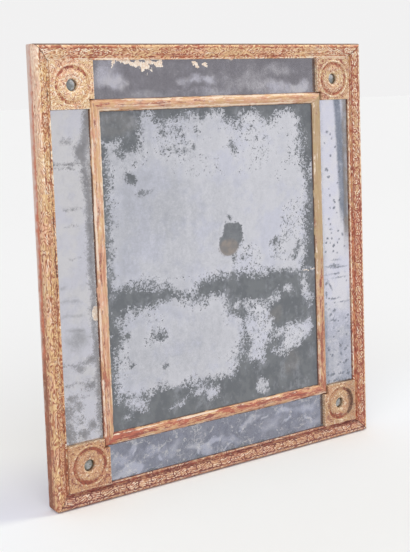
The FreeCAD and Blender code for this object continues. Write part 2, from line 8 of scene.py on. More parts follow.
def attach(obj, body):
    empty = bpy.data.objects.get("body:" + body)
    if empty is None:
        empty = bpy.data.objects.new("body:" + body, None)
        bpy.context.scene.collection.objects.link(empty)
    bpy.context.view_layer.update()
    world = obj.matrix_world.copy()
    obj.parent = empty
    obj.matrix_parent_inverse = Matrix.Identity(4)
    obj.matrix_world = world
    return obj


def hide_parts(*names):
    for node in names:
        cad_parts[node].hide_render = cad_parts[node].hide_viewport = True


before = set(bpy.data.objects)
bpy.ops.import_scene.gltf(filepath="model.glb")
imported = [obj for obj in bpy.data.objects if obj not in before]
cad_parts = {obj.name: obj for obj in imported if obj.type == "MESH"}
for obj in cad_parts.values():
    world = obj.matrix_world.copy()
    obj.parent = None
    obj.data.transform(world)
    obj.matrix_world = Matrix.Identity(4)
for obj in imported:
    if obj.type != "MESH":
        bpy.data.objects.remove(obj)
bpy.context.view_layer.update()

MM = 0.001
HALF_WIDTH = 340.0
HEIGHT = 755.0
HALF_GROUND = 7.5
PLATE_RISE = 3.0
GLASS_SUNK = 0.06
GLASS_WAVE = 0.08
CORNER_ROUND = {"bottom": 7.0, "top": 2.5}

# Sections of the mouldings, from the outer edge inward: width, rise, and the radius of a rounded run
CARVED_FROM = (7.4, 15.7)
CARVED_TO = (20.4, 9.2)
GROOVE_END = 23.5
GROOVE_RISE = 5.8
FACE_WIDTH = 26.5
LIP_START = 21.5
LIP_RISE = 3.3
OUTER_SECTION = [
    (0, 0), (0, 6), (3.3, 14.8, 13.38), (*CARVED_FROM, 3.6), (*CARVED_TO, 60), (CARVED_TO[0], GROOVE_RISE),
    (GROOVE_END, GROOVE_RISE), (FACE_WIDTH, GROOVE_RISE, 1.7), (FACE_WIDTH, LIP_RISE), (LIP_START, LIP_RISE),
    (LIP_START, 0),
]
INNER_SECTION = [(0, 3), (0, 4.2), (21.3, 4.2, 12.15), (21.3, 3)]

# Outer rectangle of each ring of mouldings: half its width, its foot and its head
OUTER_LIMITS = (HALF_WIDTH, 0.0, HEIGHT)
INNER_LIMITS = (245.0, 89.0, 666.0)

# Rosette blocks: radius and rise from the eye outward, with the radius and the side of each rounded run
BLOCK_RISE = 10.5
EYE_RIM = 13.4
CUP_RIM = 25.8
COVE_RIM = 31.4
BEAD_RIM = 34.4
BLOCK_SECTION = [
    (10, 3.2), (10, 8.3), (EYE_RIM, BLOCK_RISE, 4.5), (CUP_RIM, BLOCK_RISE, 15.5), (CUP_RIM, 9),
    (COVE_RIM, 9, 3.4, -1), (COVE_RIM, BLOCK_RISE), (32, BLOCK_RISE), (BEAD_RIM, BLOCK_RISE, 1.3),
]
BLOCK_HALF = 38.75
BLOCK_X = 274.55
BLOCK_Z = {"bottom": 65.45, "top": 689.55}
NOTCH_X = 29.35
NOTCH_Z = 23.35
BLOCK_TURNS = 288
PLAIN_RINGS = (0.12, 0.3, 0.5, 0.7, 0.88, 1.0)
EDGE_RINGS = ((0.15, 0.15), (0.5, 0.0), (3.5, 0.0), (BLOCK_RISE, 0.0))
CORNERS = [(end, flank) for end in ("bottom", "top") for flank in ("left", "right")]

# Carved strokes: the spacing of their points, half their usual width, the length of two bays of the vine, and
# the scrolls of a rosette block
STROKE_STEP = 0.35
STROKE_HALF = 0.85
VINE_PERIOD = 50
CUP_SCROLLS = 18
CUP_RADIUS = 19.6
CORNER_SCROLL = 45.6


def linear(*screen):
    """A colour given as 0 to 255 for the screen, as the light it stands for."""
    return tuple(((c / 255 + 0.055) / 1.055) ** 2.4 if c > 10 else c / 255 / 12.92 for c in screen)


# Numbers worked out over arrays of points

def smooth(low, high, value):
    """0 below low, 1 above high, with a soft change between."""
    t = np.clip((value - low) / (high - low), 0, 1)
    return t * t * (3 - 2 * t)


def window(a, b, c, d, value):
    """Rises from 0 to 1 between a and b and falls back to 0 between c and d."""
    return smooth(a, b, value) * (1 - smooth(c, d, value))


def bell(value, middle, width):
    """1 at the middle, falling softly to 0 on both sides."""
    return np.exp(-((value - middle) / width)**2)


def noise(a, b, size, seed, octaves=3):
    """Cloudy noise from 0 to 1 over two coordinates in mm. size is that of its largest bumps."""
    total = 0
    weight = 0
    for octave in range(octaves):
        table = np.random.default_rng(seed * 31 + octave).random((128, 128))
        step = size / 2**octave
        u, v = a / step + 57, b / step + 57
        i, j = np.floor(u).astype(int), np.floor(v).astype(int)
        fu, fv = smooth(0, 1, u - i), smooth(0, 1, v - j)
        i0, i1, j0, j1 = i % 128, (i + 1) % 128, j % 128, (j + 1) % 128
        low = table[i0, j0] * (1 - fu) + table[i1, j0] * fu
        high = table[i0, j1] * (1 - fu) + table[i1, j1] * fu
        total += (low * (1 - fv) + high * fv) / 2**octave
        weight += 1 / 2**octave
    return total / weight


def stirred(x, z, *pushes):
    """The same places pushed about by noises of a size, an amount and a seed, so that edges become ragged."""
    over = sum((noise(x, z, size, seed) - 0.5) * amount for size, amount, seed in pushes)
    up = sum((noise(x, z, size, seed + 1) - 0.5) * amount for size, amount, seed in pushes)
    return x + over, z + up


def inside(x, z, outline):
    """How far each point lies inside a closed outline, in mm, with less than 0 outside it."""
    nearest = np.full(np.shape(x), 1e9)
    within = np.zeros(np.shape(x), bool)
    for (ax, az), (bx, bz) in zip(outline, outline[1:] + outline[:1]):
        dx, dz = bx - ax, bz - az
        t = np.clip(((x - ax) * dx + (z - az) * dz) / (dx * dx + dz * dz), 0, 1)
        nearest = np.minimum(nearest, np.hypot(x - ax - t * dx, z - az - t * dz))
        if dz:
            within ^= ((az > z) != (bz > z)) & (x < ax + (z - az) * dx / dz)
    return np.where(within, nearest, -nearest)


# A spot is an oval: its middle, its reach across and up and, if it leans, its turn in degrees

def from_middle(x, z, spot, wide, tall):
    """How far each point is from a spot's middle, with 1 at its rim. wide and tall stretch the spot."""
    cx, cz, rx, rz, lean = (*spot, 0)[:5]
    c, s = math.cos(math.radians(lean)), math.sin(math.radians(lean))
    u, v = (x - cx) * c + (z - cz) * s, (z - cz) * c - (x - cx) * s
    return np.hypot(u / (rx * wide), v / (rz * tall))


def near(x, z, spot, wide=1, tall=1):
    """1 at a spot's middle, 0 at its rim and beyond."""
    return np.clip(1 - from_middle(x, z, spot, wide, tall), 0, 1)


def deepest(x, z, spots, wide=1, tall=1):
    """How far each point lies inside the nearest of some spots, in mm, with less than 0 outside them."""
    depths = []
    for spot in spots:
        reach = min(spot[2] * wide, spot[3] * tall)
        depths.append((1 - from_middle(x, z, spot, wide, tall)) * reach)
    return np.max(depths, axis=0)


def clouded(x, z, clouds, full, wide=1, tall=1):
    """Soft spots added up, each with its amount first. It is whole where near reaches full."""
    return sum(amount * smooth(0, full, near(x, z, spot, wide, tall)) for amount, *spot in clouds)


def along(position, stops):
    """Values set at places along a bar, with straight changes between."""
    return np.interp(position, list(stops), list(stops.values()))


def walk(corners, step, flat_step=1.3):
    """Points every step along a section's rounded runs and every flat_step along its flat ones, with the way
    out of the wood and the distance along the section at each."""
    points = [np.array(corners[0][:2], float)]
    for corner in corners[1:]:
        start, end = points[-1], np.array(corner[:2], float)
        chord = end - start
        length = math.hypot(*chord)
        if len(corner) == 2:
            count = max(1, math.ceil(length / flat_step))
            points += [start + chord * k / count for k in range(1, count + 1)]
            continue
        radius, side = (*corner[2:], 1)[:2]
        left = np.array((-chord[1], chord[0])) / length * side
        centre = (start + end) / 2 - left * math.sqrt(max(radius**2 - (length / 2)**2, 0))
        first = math.atan2(*(start - centre)[::-1])
        last = math.atan2(*(end - centre)[::-1])
        if (last - first) * side > 0:
            last -= 2 * math.pi * side
        count = max(2, math.ceil(radius * abs(last - first) / step))
        turn = first + (last - first) * np.arange(1, count + 1) / count
        points += [centre + radius * np.array((math.cos(t), math.sin(t))) for t in turn]
    points = np.array(points)
    ahead = np.vstack([points[1:], points[-1:]]) - np.vstack([points[:1], points[:-1]])
    way_out = np.stack([-ahead[:, 1], ahead[:, 0]], 1)
    way_out /= np.maximum(np.hypot(*way_out.T), 1e-9)[:, None]
    run = np.concatenate([[0], np.cumsum(np.hypot(*np.diff(points, axis=0).T))])
    return points, way_out, run


# Carving: a running vine of scrolls, as strokes of points with a half width

def spiral(cx, cy, start, turns, outer, inner, hand):
    """A scroll that winds inward from its rim."""
    t = np.linspace(0, 1, int(turns * math.pi * (outer + inner) / STROKE_STEP))
    angle = start + hand * turns * 2 * math.pi * t
    radius = outer + (inner - outer) * t**0.85
    return np.stack([cx + radius * np.cos(angle), cy + radius * np.sin(angle), STROKE_HALF - 0.25 * t], 1)


def curl(x, y, heading, length, bend, width=STROKE_HALF):
    """A short leaf that leaves in one heading, in radians, and bends as it goes."""
    count = max(6, int(length / STROKE_STEP))
    t = np.linspace(0, 1, count)
    angle = heading + bend * t
    step = length / count
    over, up = np.cumsum(np.cos(angle)) * step, np.cumsum(np.sin(angle)) * step
    return np.stack([x + over, y + up, width * (1 - 0.6 * t)], 1)


def vine(length, low, high, period, seed):
    """Strokes between two edges of a band: a scroll in each bay, with lines that wave round the scrolls."""
    rng = np.random.default_rng(seed)
    middle, room = (low + high) / 2, (high - low) / 2
    waves = max(2, round(length / period))
    period = length / waves
    bays = []
    for bay in range(waves * 2):
        side = -1 if bay % 2 == 0 else 1
        radius = room * rng.uniform(0.62, 0.84)
        cx = (bay + 0.5) * period / 2 + rng.uniform(-2, 2)
        bays.append((cx, middle + side * (room - radius) * 0.8, radius, side))
    s = np.arange(0, length, STROKE_STEP)
    wander = (noise(s, 0, period * 1.7, seed) - 0.5) * 3
    strokes = []
    for line in range(-5, 6):
        y = middle + room * 0.55 * np.sin(2 * math.pi * s / period + wander * 0.3) + wander * 0.4 + line * 3.3
        width = 0.3 + 0.75 * noise(s, line * 40, 9, seed + 1)
        kept = (y > low + 0.5) & (y < high - 0.5)
        for cx, cy, radius, _ in bays:
            kept &= np.hypot(s - cx, y - cy) > radius + 1.5
        strokes.append(np.stack([s, y, width], 1)[kept])
    for cx, cy, radius, side in bays:
        hand = side * (1 if rng.random() < 0.75 else -1)
        turns = (radius - 0.8) / rng.uniform(2.9, 3.5)
        start = -side * math.pi / 2 + rng.uniform(-0.6, 0.6)
        strokes.append(spiral(cx, cy, start, turns, radius, 0.7, hand))
        for _ in range(3):
            turn = rng.uniform(0, 2 * math.pi)
            x, y = cx + (radius + 1.2) * math.cos(turn), cy + (radius + 1.2) * math.sin(turn)
            heading = turn + rng.uniform(0.6, 1.4)
            strokes.append(curl(x, y, heading, rng.uniform(3, 6), rng.uniform(-2.2, 2.2), 0.7))
    return np.concatenate(strokes)


def raised(a, b, strokes, wider=0.0):
    """1 on the carved strokes and 0 on the sunk ground between. wider is added to each side of a stroke."""
    tree = kdtree.KDTree(len(strokes))
    for index, (x, y, _) in enumerate(strokes):
        tree.insert((x, y, 0), index)
    tree.balance()
    level = np.zeros(a.size)
    for index, (x, y) in enumerate(zip(a.ravel(), b.ravel())):
        _, found, gap = tree.find((x, y, 0))
        level[index] = strokes[found][2] + 0.65 + wider - gap
    return smooth(0, 1, level).reshape(a.shape)


# Meshes

SHARP_TURN = 38

# Where faces lie on their picture: the size in mm of a block's picture and of a bar end's, the height of a
# strip as a multiple of its front's, and the place of its back
BLOCK_PICTURE = 138
END_PICTURE = 4000
STRIP_HEIGHT = 1.35
STRIP_BACK = 0.99


def new_piece(name, node, material, points, faces, fields, unwrap):
    """A mesh piece in mm. fields are values on its points; unwrap gives the corners of each face a place."""
    mesh = bpy.data.meshes.new(name)
    mesh.from_pydata((np.asarray(points) * MM).tolist(), [], faces)
    for field, values in fields.items():
        layer = mesh.attributes.new(field, "FLOAT", "POINT")
        layer.data.foreach_set("value", np.asarray(values, np.float32).ravel())
    layer = mesh.uv_layers.new(name="OFBake")
    layer.data.foreach_set("uv", np.asarray(unwrap, np.float32).ravel())
    mesh.shade_smooth()
    mesh.set_sharp_from_angle(angle=math.radians(SHARP_TURN))
    mesh.materials.append(material)
    piece = bpy.data.objects.new(name, mesh)
    bpy.context.scene.collection.objects.link(piece)
    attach(piece, "mirror_frame")
    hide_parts(node)


def tube_faces(rows, columns):
    """The faces between rows of points, each row closed round, and the grid of the points' numbers."""
    grid = np.arange(rows * columns).reshape(rows, columns)
    after = np.roll(grid, -1, axis=1)
    return np.stack([grid[:-1], after[:-1], after[1:], grid[1:]], -1).reshape(-1, 4), grid


def round_corners(x, z):
    """Pulls what lies outside the rounded corners of the frame onto them."""
    for end, radius in CORNER_ROUND.items():
        cx = HALF_WIDTH - radius
        cz = radius if end == "bottom" else HEIGHT - radius
        dx = np.abs(x) - cx
        dz = (cz - z) if end == "bottom" else (z - cz)
        out = np.hypot(np.maximum(dx, 0), np.maximum(dz, 0))
        over = (dx > 0) & (dz > 0) & (out > radius)
        scale = np.where(over, radius / np.maximum(out, 1e-9), 1)
        x = np.where(over, np.sign(x) * (cx + dx * scale), x)
        z = np.where(over, cz + (z - cz) * scale, z)
    return x, z


def unwrap_bar(s, length, points, run, quads, caps):
    """Lays a long bar out as strips, one above the other, with its two ends in the margin."""
    rows, columns = s.shape
    strips = max(1, round(math.sqrt(length / run[-1])))
    strip = np.minimum(quads.min(1) // columns * strips // (rows - 1), strips - 1)[:, None]
    over = (s / length * strips).ravel()[quads] - strip
    up = np.tile(run / (run[-1] * STRIP_HEIGHT), rows)[quads]
    # the back of the section, from its last point to its first, takes the rest of the strip
    up[(quads % columns == 0) & ((quads % columns).max(1) == columns - 1)[:, None]] = STRIP_BACK
    places = np.stack([0.01 + 0.98 * np.clip(over, 0, 1), (strip + 0.02 + 0.96 * up) / strips], -1)
    ends = [points[cap % columns][:, ::-1] / END_PICTURE for cap in caps]
    return np.vstack([places.reshape(-1, 2), ends[0] + (STRIP_BACK, 0), ends[1] + (STRIP_BACK, 0.5)])


def build_bar(ring, side, section, limits, shape, material, step, across):
    """A mitred moulding, with its points step apart along it and across apart round its section. shape gives
    how far the surface is sunk, how far it shifts inward, and the fields."""
    points, way_out, run = walk(section, across)
    half, low, high = limits
    upright = side in ("left", "right")
    length = high - low if upright else half * 2
    share = np.linspace(0, 1, math.ceil(length / step) + 1)[:, None]
    s = points[:, 0] + (length - 2 * points[:, 0]) * share
    u, h, v = points[:, 0] + 0 * s, points[:, 1] + 0 * s, run + 0 * s
    sunk, shift, fields = shape(side, s, v, u, h, length)
    u = u - way_out[:, 0] * sunk + shift
    h = h - way_out[:, 1] * sunk
    if upright:
        x, z = (u - half if side == "left" else half - u), low + s
    else:
        x, z = s - half, (low + u if side == "bottom" else high - u)
    if section is OUTER_SECTION:
        x, z = round_corners(x, z)
    quads, grid = tube_faces(*s.shape)
    caps = [grid[0], grid[-1][::-1]]
    if side in ("left", "top"):
        quads = quads[:, ::-1]
        caps = [cap[::-1] for cap in caps]
    surface = np.stack([x, -HALF_GROUND - h, z], -1).reshape(-1, 3)
    faces = quads.tolist() + [cap.tolist() for cap in caps]
    new_piece(f"gilt_{ring}_{side}", f"{ring}_moulding_{side}", material, surface, faces, fields,
              unwrap_bar(s, length, points, run, quads, caps))


def block_edge(cos, sin):
    """How far a block's edge lies from its middle in each direction, with its notch."""
    edge = BLOCK_HALF / np.maximum(np.abs(cos), np.abs(sin))
    past = (edge * cos > NOTCH_X + 1e-3) & (edge * sin > NOTCH_Z + 1e-3)
    upright = NOTCH_X / np.maximum(cos, 1e-6)
    level = NOTCH_Z / np.maximum(sin, 1e-6)
    at_notch = np.where(NOTCH_X * sin > NOTCH_Z * cos, upright, level)
    return np.where(past, np.minimum(edge, at_notch), edge)


def build_block(end, flank, seed, material):
    """A square block with a turned rosette, notched for the inner moulding's corner."""
    points, way_out, _ = walk(BLOCK_SECTION, 0.55)
    way_x = 1 if flank == "left" else -1
    way_z = 1 if end == "bottom" else -1
    turns = [2 * math.pi * k / BLOCK_TURNS for k in range(BLOCK_TURNS)]
    for a, b in ((NOTCH_X, BLOCK_HALF), (NOTCH_X, NOTCH_Z), (BLOCK_HALF, NOTCH_Z)):
        turns.append(math.atan2(b, a))
    turns = np.unique(np.round(np.array(turns), 6))
    cos, sin = np.cos(turns), np.sin(turns)
    edge = block_edge(cos, sin)
    rim = points[-1, 0]
    rings = [(r + 0 * edge, h, way) for (r, h), way in zip(points, way_out)]
    for t in PLAIN_RINGS:
        rings.append((rim + (edge - 0.5 - rim) * t, BLOCK_RISE, (0, 1)))
    for drop, inset in EDGE_RINGS:
        rings.append((edge - inset, BLOCK_RISE - drop, (1, 0)))
    radius = np.array([r for r, _, _ in rings])
    rise = np.array([h for _, h, _ in rings])[:, None] + 0 * radius
    out_r, out_h = np.array([way for _, _, way in rings], float).T[:, :, None]
    corner = f"{end}_{flank}"
    sunk, fields = block_shape(corner, seed, way_x * radius * cos, way_z * radius * sin, radius, rise)
    radius = radius - out_r * sunk
    rise = rise - out_h * sunk
    x = way_x * (radius * cos - BLOCK_X)
    z = BLOCK_Z[end] + way_z * radius * sin
    quads = tube_faces(*radius.shape)[0][:, [0, 3, 2, 1]]
    if way_x * way_z > 0:
        quads = quads[:, ::-1]
    outward = np.hypot(np.diff(radius, axis=0), np.diff(rise, axis=0))
    run_out = np.cumsum(np.vstack([radius[:1], outward]), axis=0) / BLOCK_PICTURE
    places = np.stack([0.5 + run_out * cos, 0.5 + run_out * sin], -1).reshape(-1, 2)
    surface = np.stack([x, -HALF_GROUND - rise, z], -1).reshape(-1, 3)
    new_piece(f"rosette_{corner}", f"corner_block_{corner}", material, surface, quads.tolist(),
              fields, places[quads].reshape(-1, 2))


def build_plate(name, node, limits, shape, material, step=2.0):
    """A slightly wavy plate of mirror glass. limits are its left, right, foot and head."""
    x0, x1, z0, z1 = limits
    columns, rows = math.ceil((x1 - x0) / step) + 1, math.ceil((z1 - z0) / step) + 1
    x, z = np.meshgrid(np.linspace(x0, x1, columns), np.linspace(z0, z1, rows))
    wave = (noise(x, z, 110, 5, 2) - 0.5) * GLASS_WAVE
    front = np.stack([x, -HALF_GROUND - PLATE_RISE + GLASS_SUNK + wave, z], -1).reshape(-1, 3)
    grid = np.arange(rows * columns).reshape(rows, columns)
    quads = np.stack([grid[:-1, :-1], grid[:-1, 1:], grid[1:, 1:], grid[1:, :-1]], -1).reshape(-1, 4)
    border = np.concatenate([grid[0, :-1], grid[:-1, -1], grid[-1, :0:-1], grid[:0:-1, 0]])
    fields = {}
    for field, values in ({"flake": 0, "brown": 0, "stain": 0} | shape(x, z)).items():
        values = np.broadcast_to(values, x.shape).ravel()
        fields[field] = np.concatenate([values, values[border]])
    back = front[border].copy()
    back[:, 1] = -HALF_GROUND
    first = rows * columns
    ring = np.arange(len(border)) + first
    sides = np.stack([border, ring, np.roll(ring, -1), np.roll(border, -1)], -1)
    faces = np.vstack([quads, sides])
    points = np.vstack([front, back])
    places = (points[:, ::2] - (x0, z0)) / max(x1 - x0, z1 - z0) * 0.96 + 0.02
    places[first:] += np.sign(places[first:] - places[:first].mean(0)) * 0.012
    rear = ring[::-1].tolist()
    unwrap = np.vstack([places[faces].reshape(-1, 2), places[rear] * 0.01])
    new_piece(f"plate_{name}", node, material, points, faces.tolist() + [rear], fields, unwrap)


# Materials

class Value:
    """What a node works out. The signs +, - and * make further nodes."""

    def __init__(self, nodes, socket):
        self.nodes = nodes
        self.socket = socket

    def __add__(self, other):
        return self.nodes.math("ADD", self, other)

    def __sub__(self, other):
        return self.nodes.math("SUBTRACT", self, other)

    def __rsub__(self, other):
        return self.nodes.math("SUBTRACT", other, self)

    def __mul__(self, other):
        return self.nodes.math("MULTIPLY", self, other)

    def swing(self, amount):
        """Noise from 0 to 1 turned into a push up or down of that amount."""
        return (self - 0.5) * amount

    def step(self, low, high):
        """0 below low and 1 above high, with a soft change."""
        limits = {"Value": self, "From Min": low, "From Max": high}
        return self.nodes.node("MapRange", limits, "Result", interpolation_type="SMOOTHSTEP")


class Nodes:
    """The nodes of a material or of the world."""

    def __init__(self, tree):
        self.tree = tree

    def link(self, value, socket):
        """Joins a value to a socket, or sets the socket to a plain number or colour."""
        if isinstance(value, Value):
            self.tree.links.new(value.socket, socket)
        else:
            socket.default_value = (*value, 1) if socket.type == "RGBA" else value

    def node(self, kind, inputs, output=0, **settings):
        """A new node with its settings and inputs, as the value of one of its outputs."""
        node = self.tree.nodes.new("ShaderNode" + kind)
        for name, value in settings.items():
            setattr(node, name, value)
        for name, value in inputs.items():
            self.link(value, node.inputs[name])
        return Value(self, node.outputs[output])

    def math(self, operation, a, b=0.0):
        return self.node("Math", {0: a, 1: b}, operation=operation)


class Finish(Nodes):
    """A material whose look is worked out from the place on the object and the mesh's fields."""

    def __init__(self, name):
        self.material = bpy.data.materials.new(name)
        self.material.use_nodes = True
        super().__init__(self.material.node_tree)
        self.shader = self.tree.nodes["Principled BSDF"]
        self.place = self.node("TexCoord", {}, "Object")
        self.normal = self.node("TexCoord", {}, "Normal")

    def noise(self, size, detail=3.0, rough=0.55, stretch=(1, 1, 1), shift=0.0):
        """Noise from 0 to 1 whose bumps are about size mm wide."""
        moved = {"Vector": self.place, "Scale": stretch, "Location": (shift, shift * 2, shift * 3)}
        vector = self.node("Mapping", moved, "Vector")
        look = {"Vector": vector, "Scale": 1000 / size, "Detail": detail, "Roughness": rough}
        return self.node("TexNoise", look, "Fac")

    def field(self, name):
        return self.node("Attribute", {}, "Fac", attribute_name=name)

    def axis(self, vector, name):
        return self.node("SeparateXYZ", {0: vector}, name)

    def mix(self, share, a, b):
        """A colour that goes from a to b."""
        return self.node("Mix", {"Factor": share, "A": a, "B": b}, "Result", data_type="RGBA")

    def blend(self, share, a, b):
        """A number that goes from a to b."""
        return self.node("Mix", {"Factor": share, "A": a, "B": b}, "Result", data_type="FLOAT")

    def bump(self, height, depth, strength):
        """Surface texture of that depth in mm."""
        look = {"Strength": strength, "Distance": depth * MM, "Height": height}
        self.link(self.node("Bump", look, "Normal"), self.shader.inputs["Normal"])

    def set(self, **values):
        """Sets the material's look and gives the material."""
        names = {"colour": "Base Color", "metal": "Metallic", "rough": "Roughness", "coat": "Coat Weight",
                 "coat_rough": "Coat Roughness"}
        for name, value in values.items():
            self.link(value, self.shader.inputs[names[name]])
        return self.material


def gilding(name, shift, colours, short, long, drawn, carve=1.0, scroll=1.0, blotch=1.0):
    """Water gilding over red-brown bole: rubbed through in patches, pale at the arrises partly from rubbing
    and partly as painted highlight, dull where it is dirty, and darkened by dirt and by painted shade in
    grooves and gaps. short, long and drawn stretch the marks, the streaks and the fine chased lines along the
    bar. carve is how much bole shows in the sunk ground, scroll how strong the chased lines are, and blotch
    how patchy the wear is."""
    gold, peach, cream, bole, deep = (linear(*colour) for colour in colours)
    f = Finish(name)
    patches = f.noise(30, 3, 0.6, shift=shift)
    marks = f.noise(6, 3, 0.65, short, shift + 1)
    streaks = f.noise(3.4, 3, 0.65, long, shift + 4)
    flecks = f.noise(3.2, 3, 0.75, short, shift + 2)
    grain = f.noise(0.9, 2, 0.6, shift=shift + 3)
    waves = f.math("SINE", f.noise(15, 1, 0.4, drawn, shift + 7) * 66.0)
    chased = (waves + flecks.swing(3.0)).step(0.1, 0.9) * scroll
    # painted highlight: cream on the crests between the chased lines
    crest_highlights = (waves * -1.0 + marks.swing(3.0)).step(0.2, 0.95) * scroll
    sunk = 0.6 - f.field("relief")
    tone = f.mix((patches + marks.swing(1.0) + streaks.swing(0.5)).step(0.38, 0.62), gold, peach)
    bright = (marks + streaks.swing(1.2) + flecks.swing(0.9)).step(0.52, 0.76)
    tone = f.mix(bright, tone, f.mix(0.75, tone, cream))
    ruddy = (marks + streaks.swing(-1.4) + flecks.swing(-0.9)).step(0.56, 0.8)
    tone = f.mix(ruddy, tone, f.mix(0.55, tone, bole))
    tone = f.mix(chased * 0.8, tone, linear(170, 112, 76))
    tone = f.mix(f.field("dull"), tone, f.mix(0.75, tone, linear(170, 152, 116)))
    lines = (streaks + marks.swing(0.5)).step(0.4, 0.6)
    tone = f.mix(f.field("ash"), tone, f.mix(lines, linear(250, 228, 208), linear(214, 172, 146)))
    wear = (f.field("bole") + sunk * carve + chased * 0.26 + marks.swing(1.4 * blotch)
            + streaks.swing(2.1 - blotch) + flecks.swing(1.6) + patches.swing(0.8 * blotch))
    red = wear.step(0.44, 0.66)
    reds = f.mix((streaks + marks.swing(0.8) + sunk * 0.35).step(0.46, 0.62), bole, deep)
    colour = f.mix(red * 0.92, tone, reds)
    # cream where the gilding is rubbed to the ground, and as painted highlight on arrises, raised strokes and
    # crests
    rubbed = (f.field("pale") + sunk * (-0.4 * carve) + crest_highlights * 0.3 + marks.swing(-0.9 * blotch)
              + flecks.swing(1.6) + streaks.swing(2.0 - blotch))
    light = rubbed.step(0.4, 0.66)
    colour = f.mix(light * 0.85, colour, cream)
    # darkening from dirt and from painted shade in grooves, gaps and hollows
    dark = (f.field("dirt_and_shade") + flecks.swing(0.9) + streaks.swing(0.6)).step(0.4, 0.7)
    colour = f.mix(dark * 0.85, colour, linear(92, 60, 50))
    metal = f.blend(f.math("MAXIMUM", red, light), 0.25, 0.0)
    rough = f.blend(red, f.blend(marks, 0.36, 0.56), 0.62)
    f.bump(grain * 0.4 + flecks * 0.6 + chased * -0.5 + red * -0.5, 0.3, 0.8)
    return f.set(colour=colour, metal=metal, rough=rough)


def silvering(name, pale, deep, lost, murk, shift, wisps=0.0, blur=0.05):
    """Old mirror silvering behind glass: clouded, lost in crumbling patches, stained, and flaked to the pale
    ground. wisps is how much of it is fine pale lines, blur how soft the patches' edges are."""
    f = Finish(name)
    coarse = f.noise(15, 4, 0.6, shift=shift)
    crumbs = f.noise(5.4, 3, 0.7, shift=shift + 1)
    fine = f.noise(2.9, 2, 0.7, shift=shift + 2)
    clouds = f.noise(85, 4, 0.55, shift=shift + 3)
    streaks = f.noise(14, 4, 0.65, (1, 1, 0.16), shift + 4)
    loss = f.field("loss")
    dust = f.field("dust")
    edge = loss + coarse.swing(0.4) + (crumbs.swing(1.6) + fine.swing(2.0)) * f.blend(dust, 0.12, 1.0)
    gone = edge.step(0.5 - blur, 0.5 + blur)
    tone = (f.field("tone") + clouds.swing(0.45) + streaks.swing(0.35) + coarse.swing(0.45)
            + crumbs.swing(0.5) + fine.swing(0.6))
    cool = (f.noise(60, 3, 0.6, shift=shift + 15) + coarse.swing(0.4)).step(0.42, 0.6)
    silver = f.mix(cool, pale, tuple(c * k for c, k in zip(pale, (0.945, 0.955, 1.02))))
    silver = f.mix(tone.step(0.05, 1.0), silver, deep)
    smoke = (loss + coarse.swing(0.5) + crumbs.swing(0.5)).step(0.26, 0.56)
    silver = f.mix(smoke * 0.6, silver, deep)
    sparkle = dust * edge.step(-0.1, 0.3) * fine.step(0.42, 0.6)
    silver = f.mix(sparkle * 0.5, silver, tuple(min(1.0, c * 1.16) for c in pale))
    if wisps:
        for size, shove in ((24, 8), (13, 12)):
            wave = f.math("ABSOLUTE", f.noise(size, 3, 0.62, shift=shift + shove) - 0.5)
            lines = 1.0 - wave.step(0.004, 0.04)
            places = (f.noise(26, 3, 0.6, shift=shift + shove + 1) + crumbs.swing(0.5)).step(0.48, 0.62)
            silver = f.mix(lines * places * wisps, silver, linear(220, 218, 218))
    blots = f.noise(30, 4, 0.6, (1, 1, 0.7), shift + 6) + coarse.swing(0.6)
    base = f.mix(blots.step(0.4, 0.62), lost, murk)
    haze = f.noise(24, 4, 0.65, (1, 1, 0.8), shift + 10) + streaks.swing(0.4) + crumbs.swing(0.5)
    base = f.mix(haze.step(0.5, 0.72) * 0.32, base, deep)
    colour = f.mix(gone, silver, base)
    stain = (f.field("stain") + coarse.swing(0.3) + fine.swing(0.25)).step(0.42, 0.58)
    colour = f.mix(stain * 0.94, colour, f.mix(coarse.step(0.4, 0.6), lost, murk))
    flake = (f.field("flake") + crumbs.swing(1.2) + fine.swing(0.8)).step(0.48, 0.56)
    colour = f.mix(flake, colour, f.mix(fine.step(0.4, 0.6), linear(230, 204, 178), linear(248, 236, 220)))
    brown = f.field("brown") * f.blend(coarse.step(0.35, 0.65), 0.45, 1.0)
    colour = f.mix(brown, colour, linear(146, 134, 124))
    cover = f.math("MAXIMUM", f.math("MAXIMUM", gone, stain), flake)
    f.bump(f.noise(160, 2, 0.5, shift=shift + 7) + f.noise(28, 2, 0.5) * 0.1, 0.6, 0.6)
    return f.set(colour=colour, metal=f.blend(cover, 0.92, 0.15), rough=f.blend(cover, 0.17, 0.3), coat=0.4,
                 coat_rough=0.05)


def timber(name, colours, stretch, edge=None):
    """Sawn wood with grain along stretch's short axis; edge is the paint on the frame's sides."""
    early, late, dust = (linear(*colour) for colour in colours)
    f = Finish(name)
    waves = f.noise(9, 5, 0.6, stretch)
    rings = f.noise(3.0, 3, 0.6, tuple(k * 0.6 for k in stretch), 2)
    stain = f.noise(120, 4, 0.6, shift=3)
    fibre = f.noise(1.2, 3, 0.6, stretch, 5)
    colour = f.mix((waves + rings.swing(0.8)).step(0.35, 0.68), early, late)
    colour = f.mix(fibre.step(0.5, 0.75) * 0.5, colour, late)
    colour = f.mix(stain.step(0.45, 0.75) * 0.6, colour, dust)
    if edge:
        grey, red, brown = (linear(*paint) for paint in edge)
        side = f.math("LESS_THAN", f.math("ABSOLUTE", f.axis(f.normal, "Y")), 0.5)
        depth, height = f.axis(f.place, "Y"), f.axis(f.place, "Z")
        share = (depth * 40.0 + height * 0.9 + f.noise(14, 4, 0.65, shift=7).swing(1.2)).step(0.15, 0.75)
        low = (height + f.noise(30, 3, 0.6, shift=8).swing(0.8)).step(0.1, 0.4)
        paint = f.mix(share, f.mix(low, brown, red), grey)
        paint = f.mix(f.noise(5, 4, 0.65, shift=9).step(0.55, 0.72), paint, linear(214, 170, 132))
        colour = f.mix(side, colour, paint)
    f.bump(waves + fibre * 0.5, 0.5, 0.6)
    return f.set(colour=colour, rough=f.blend(fibre, 0.68, 0.88))


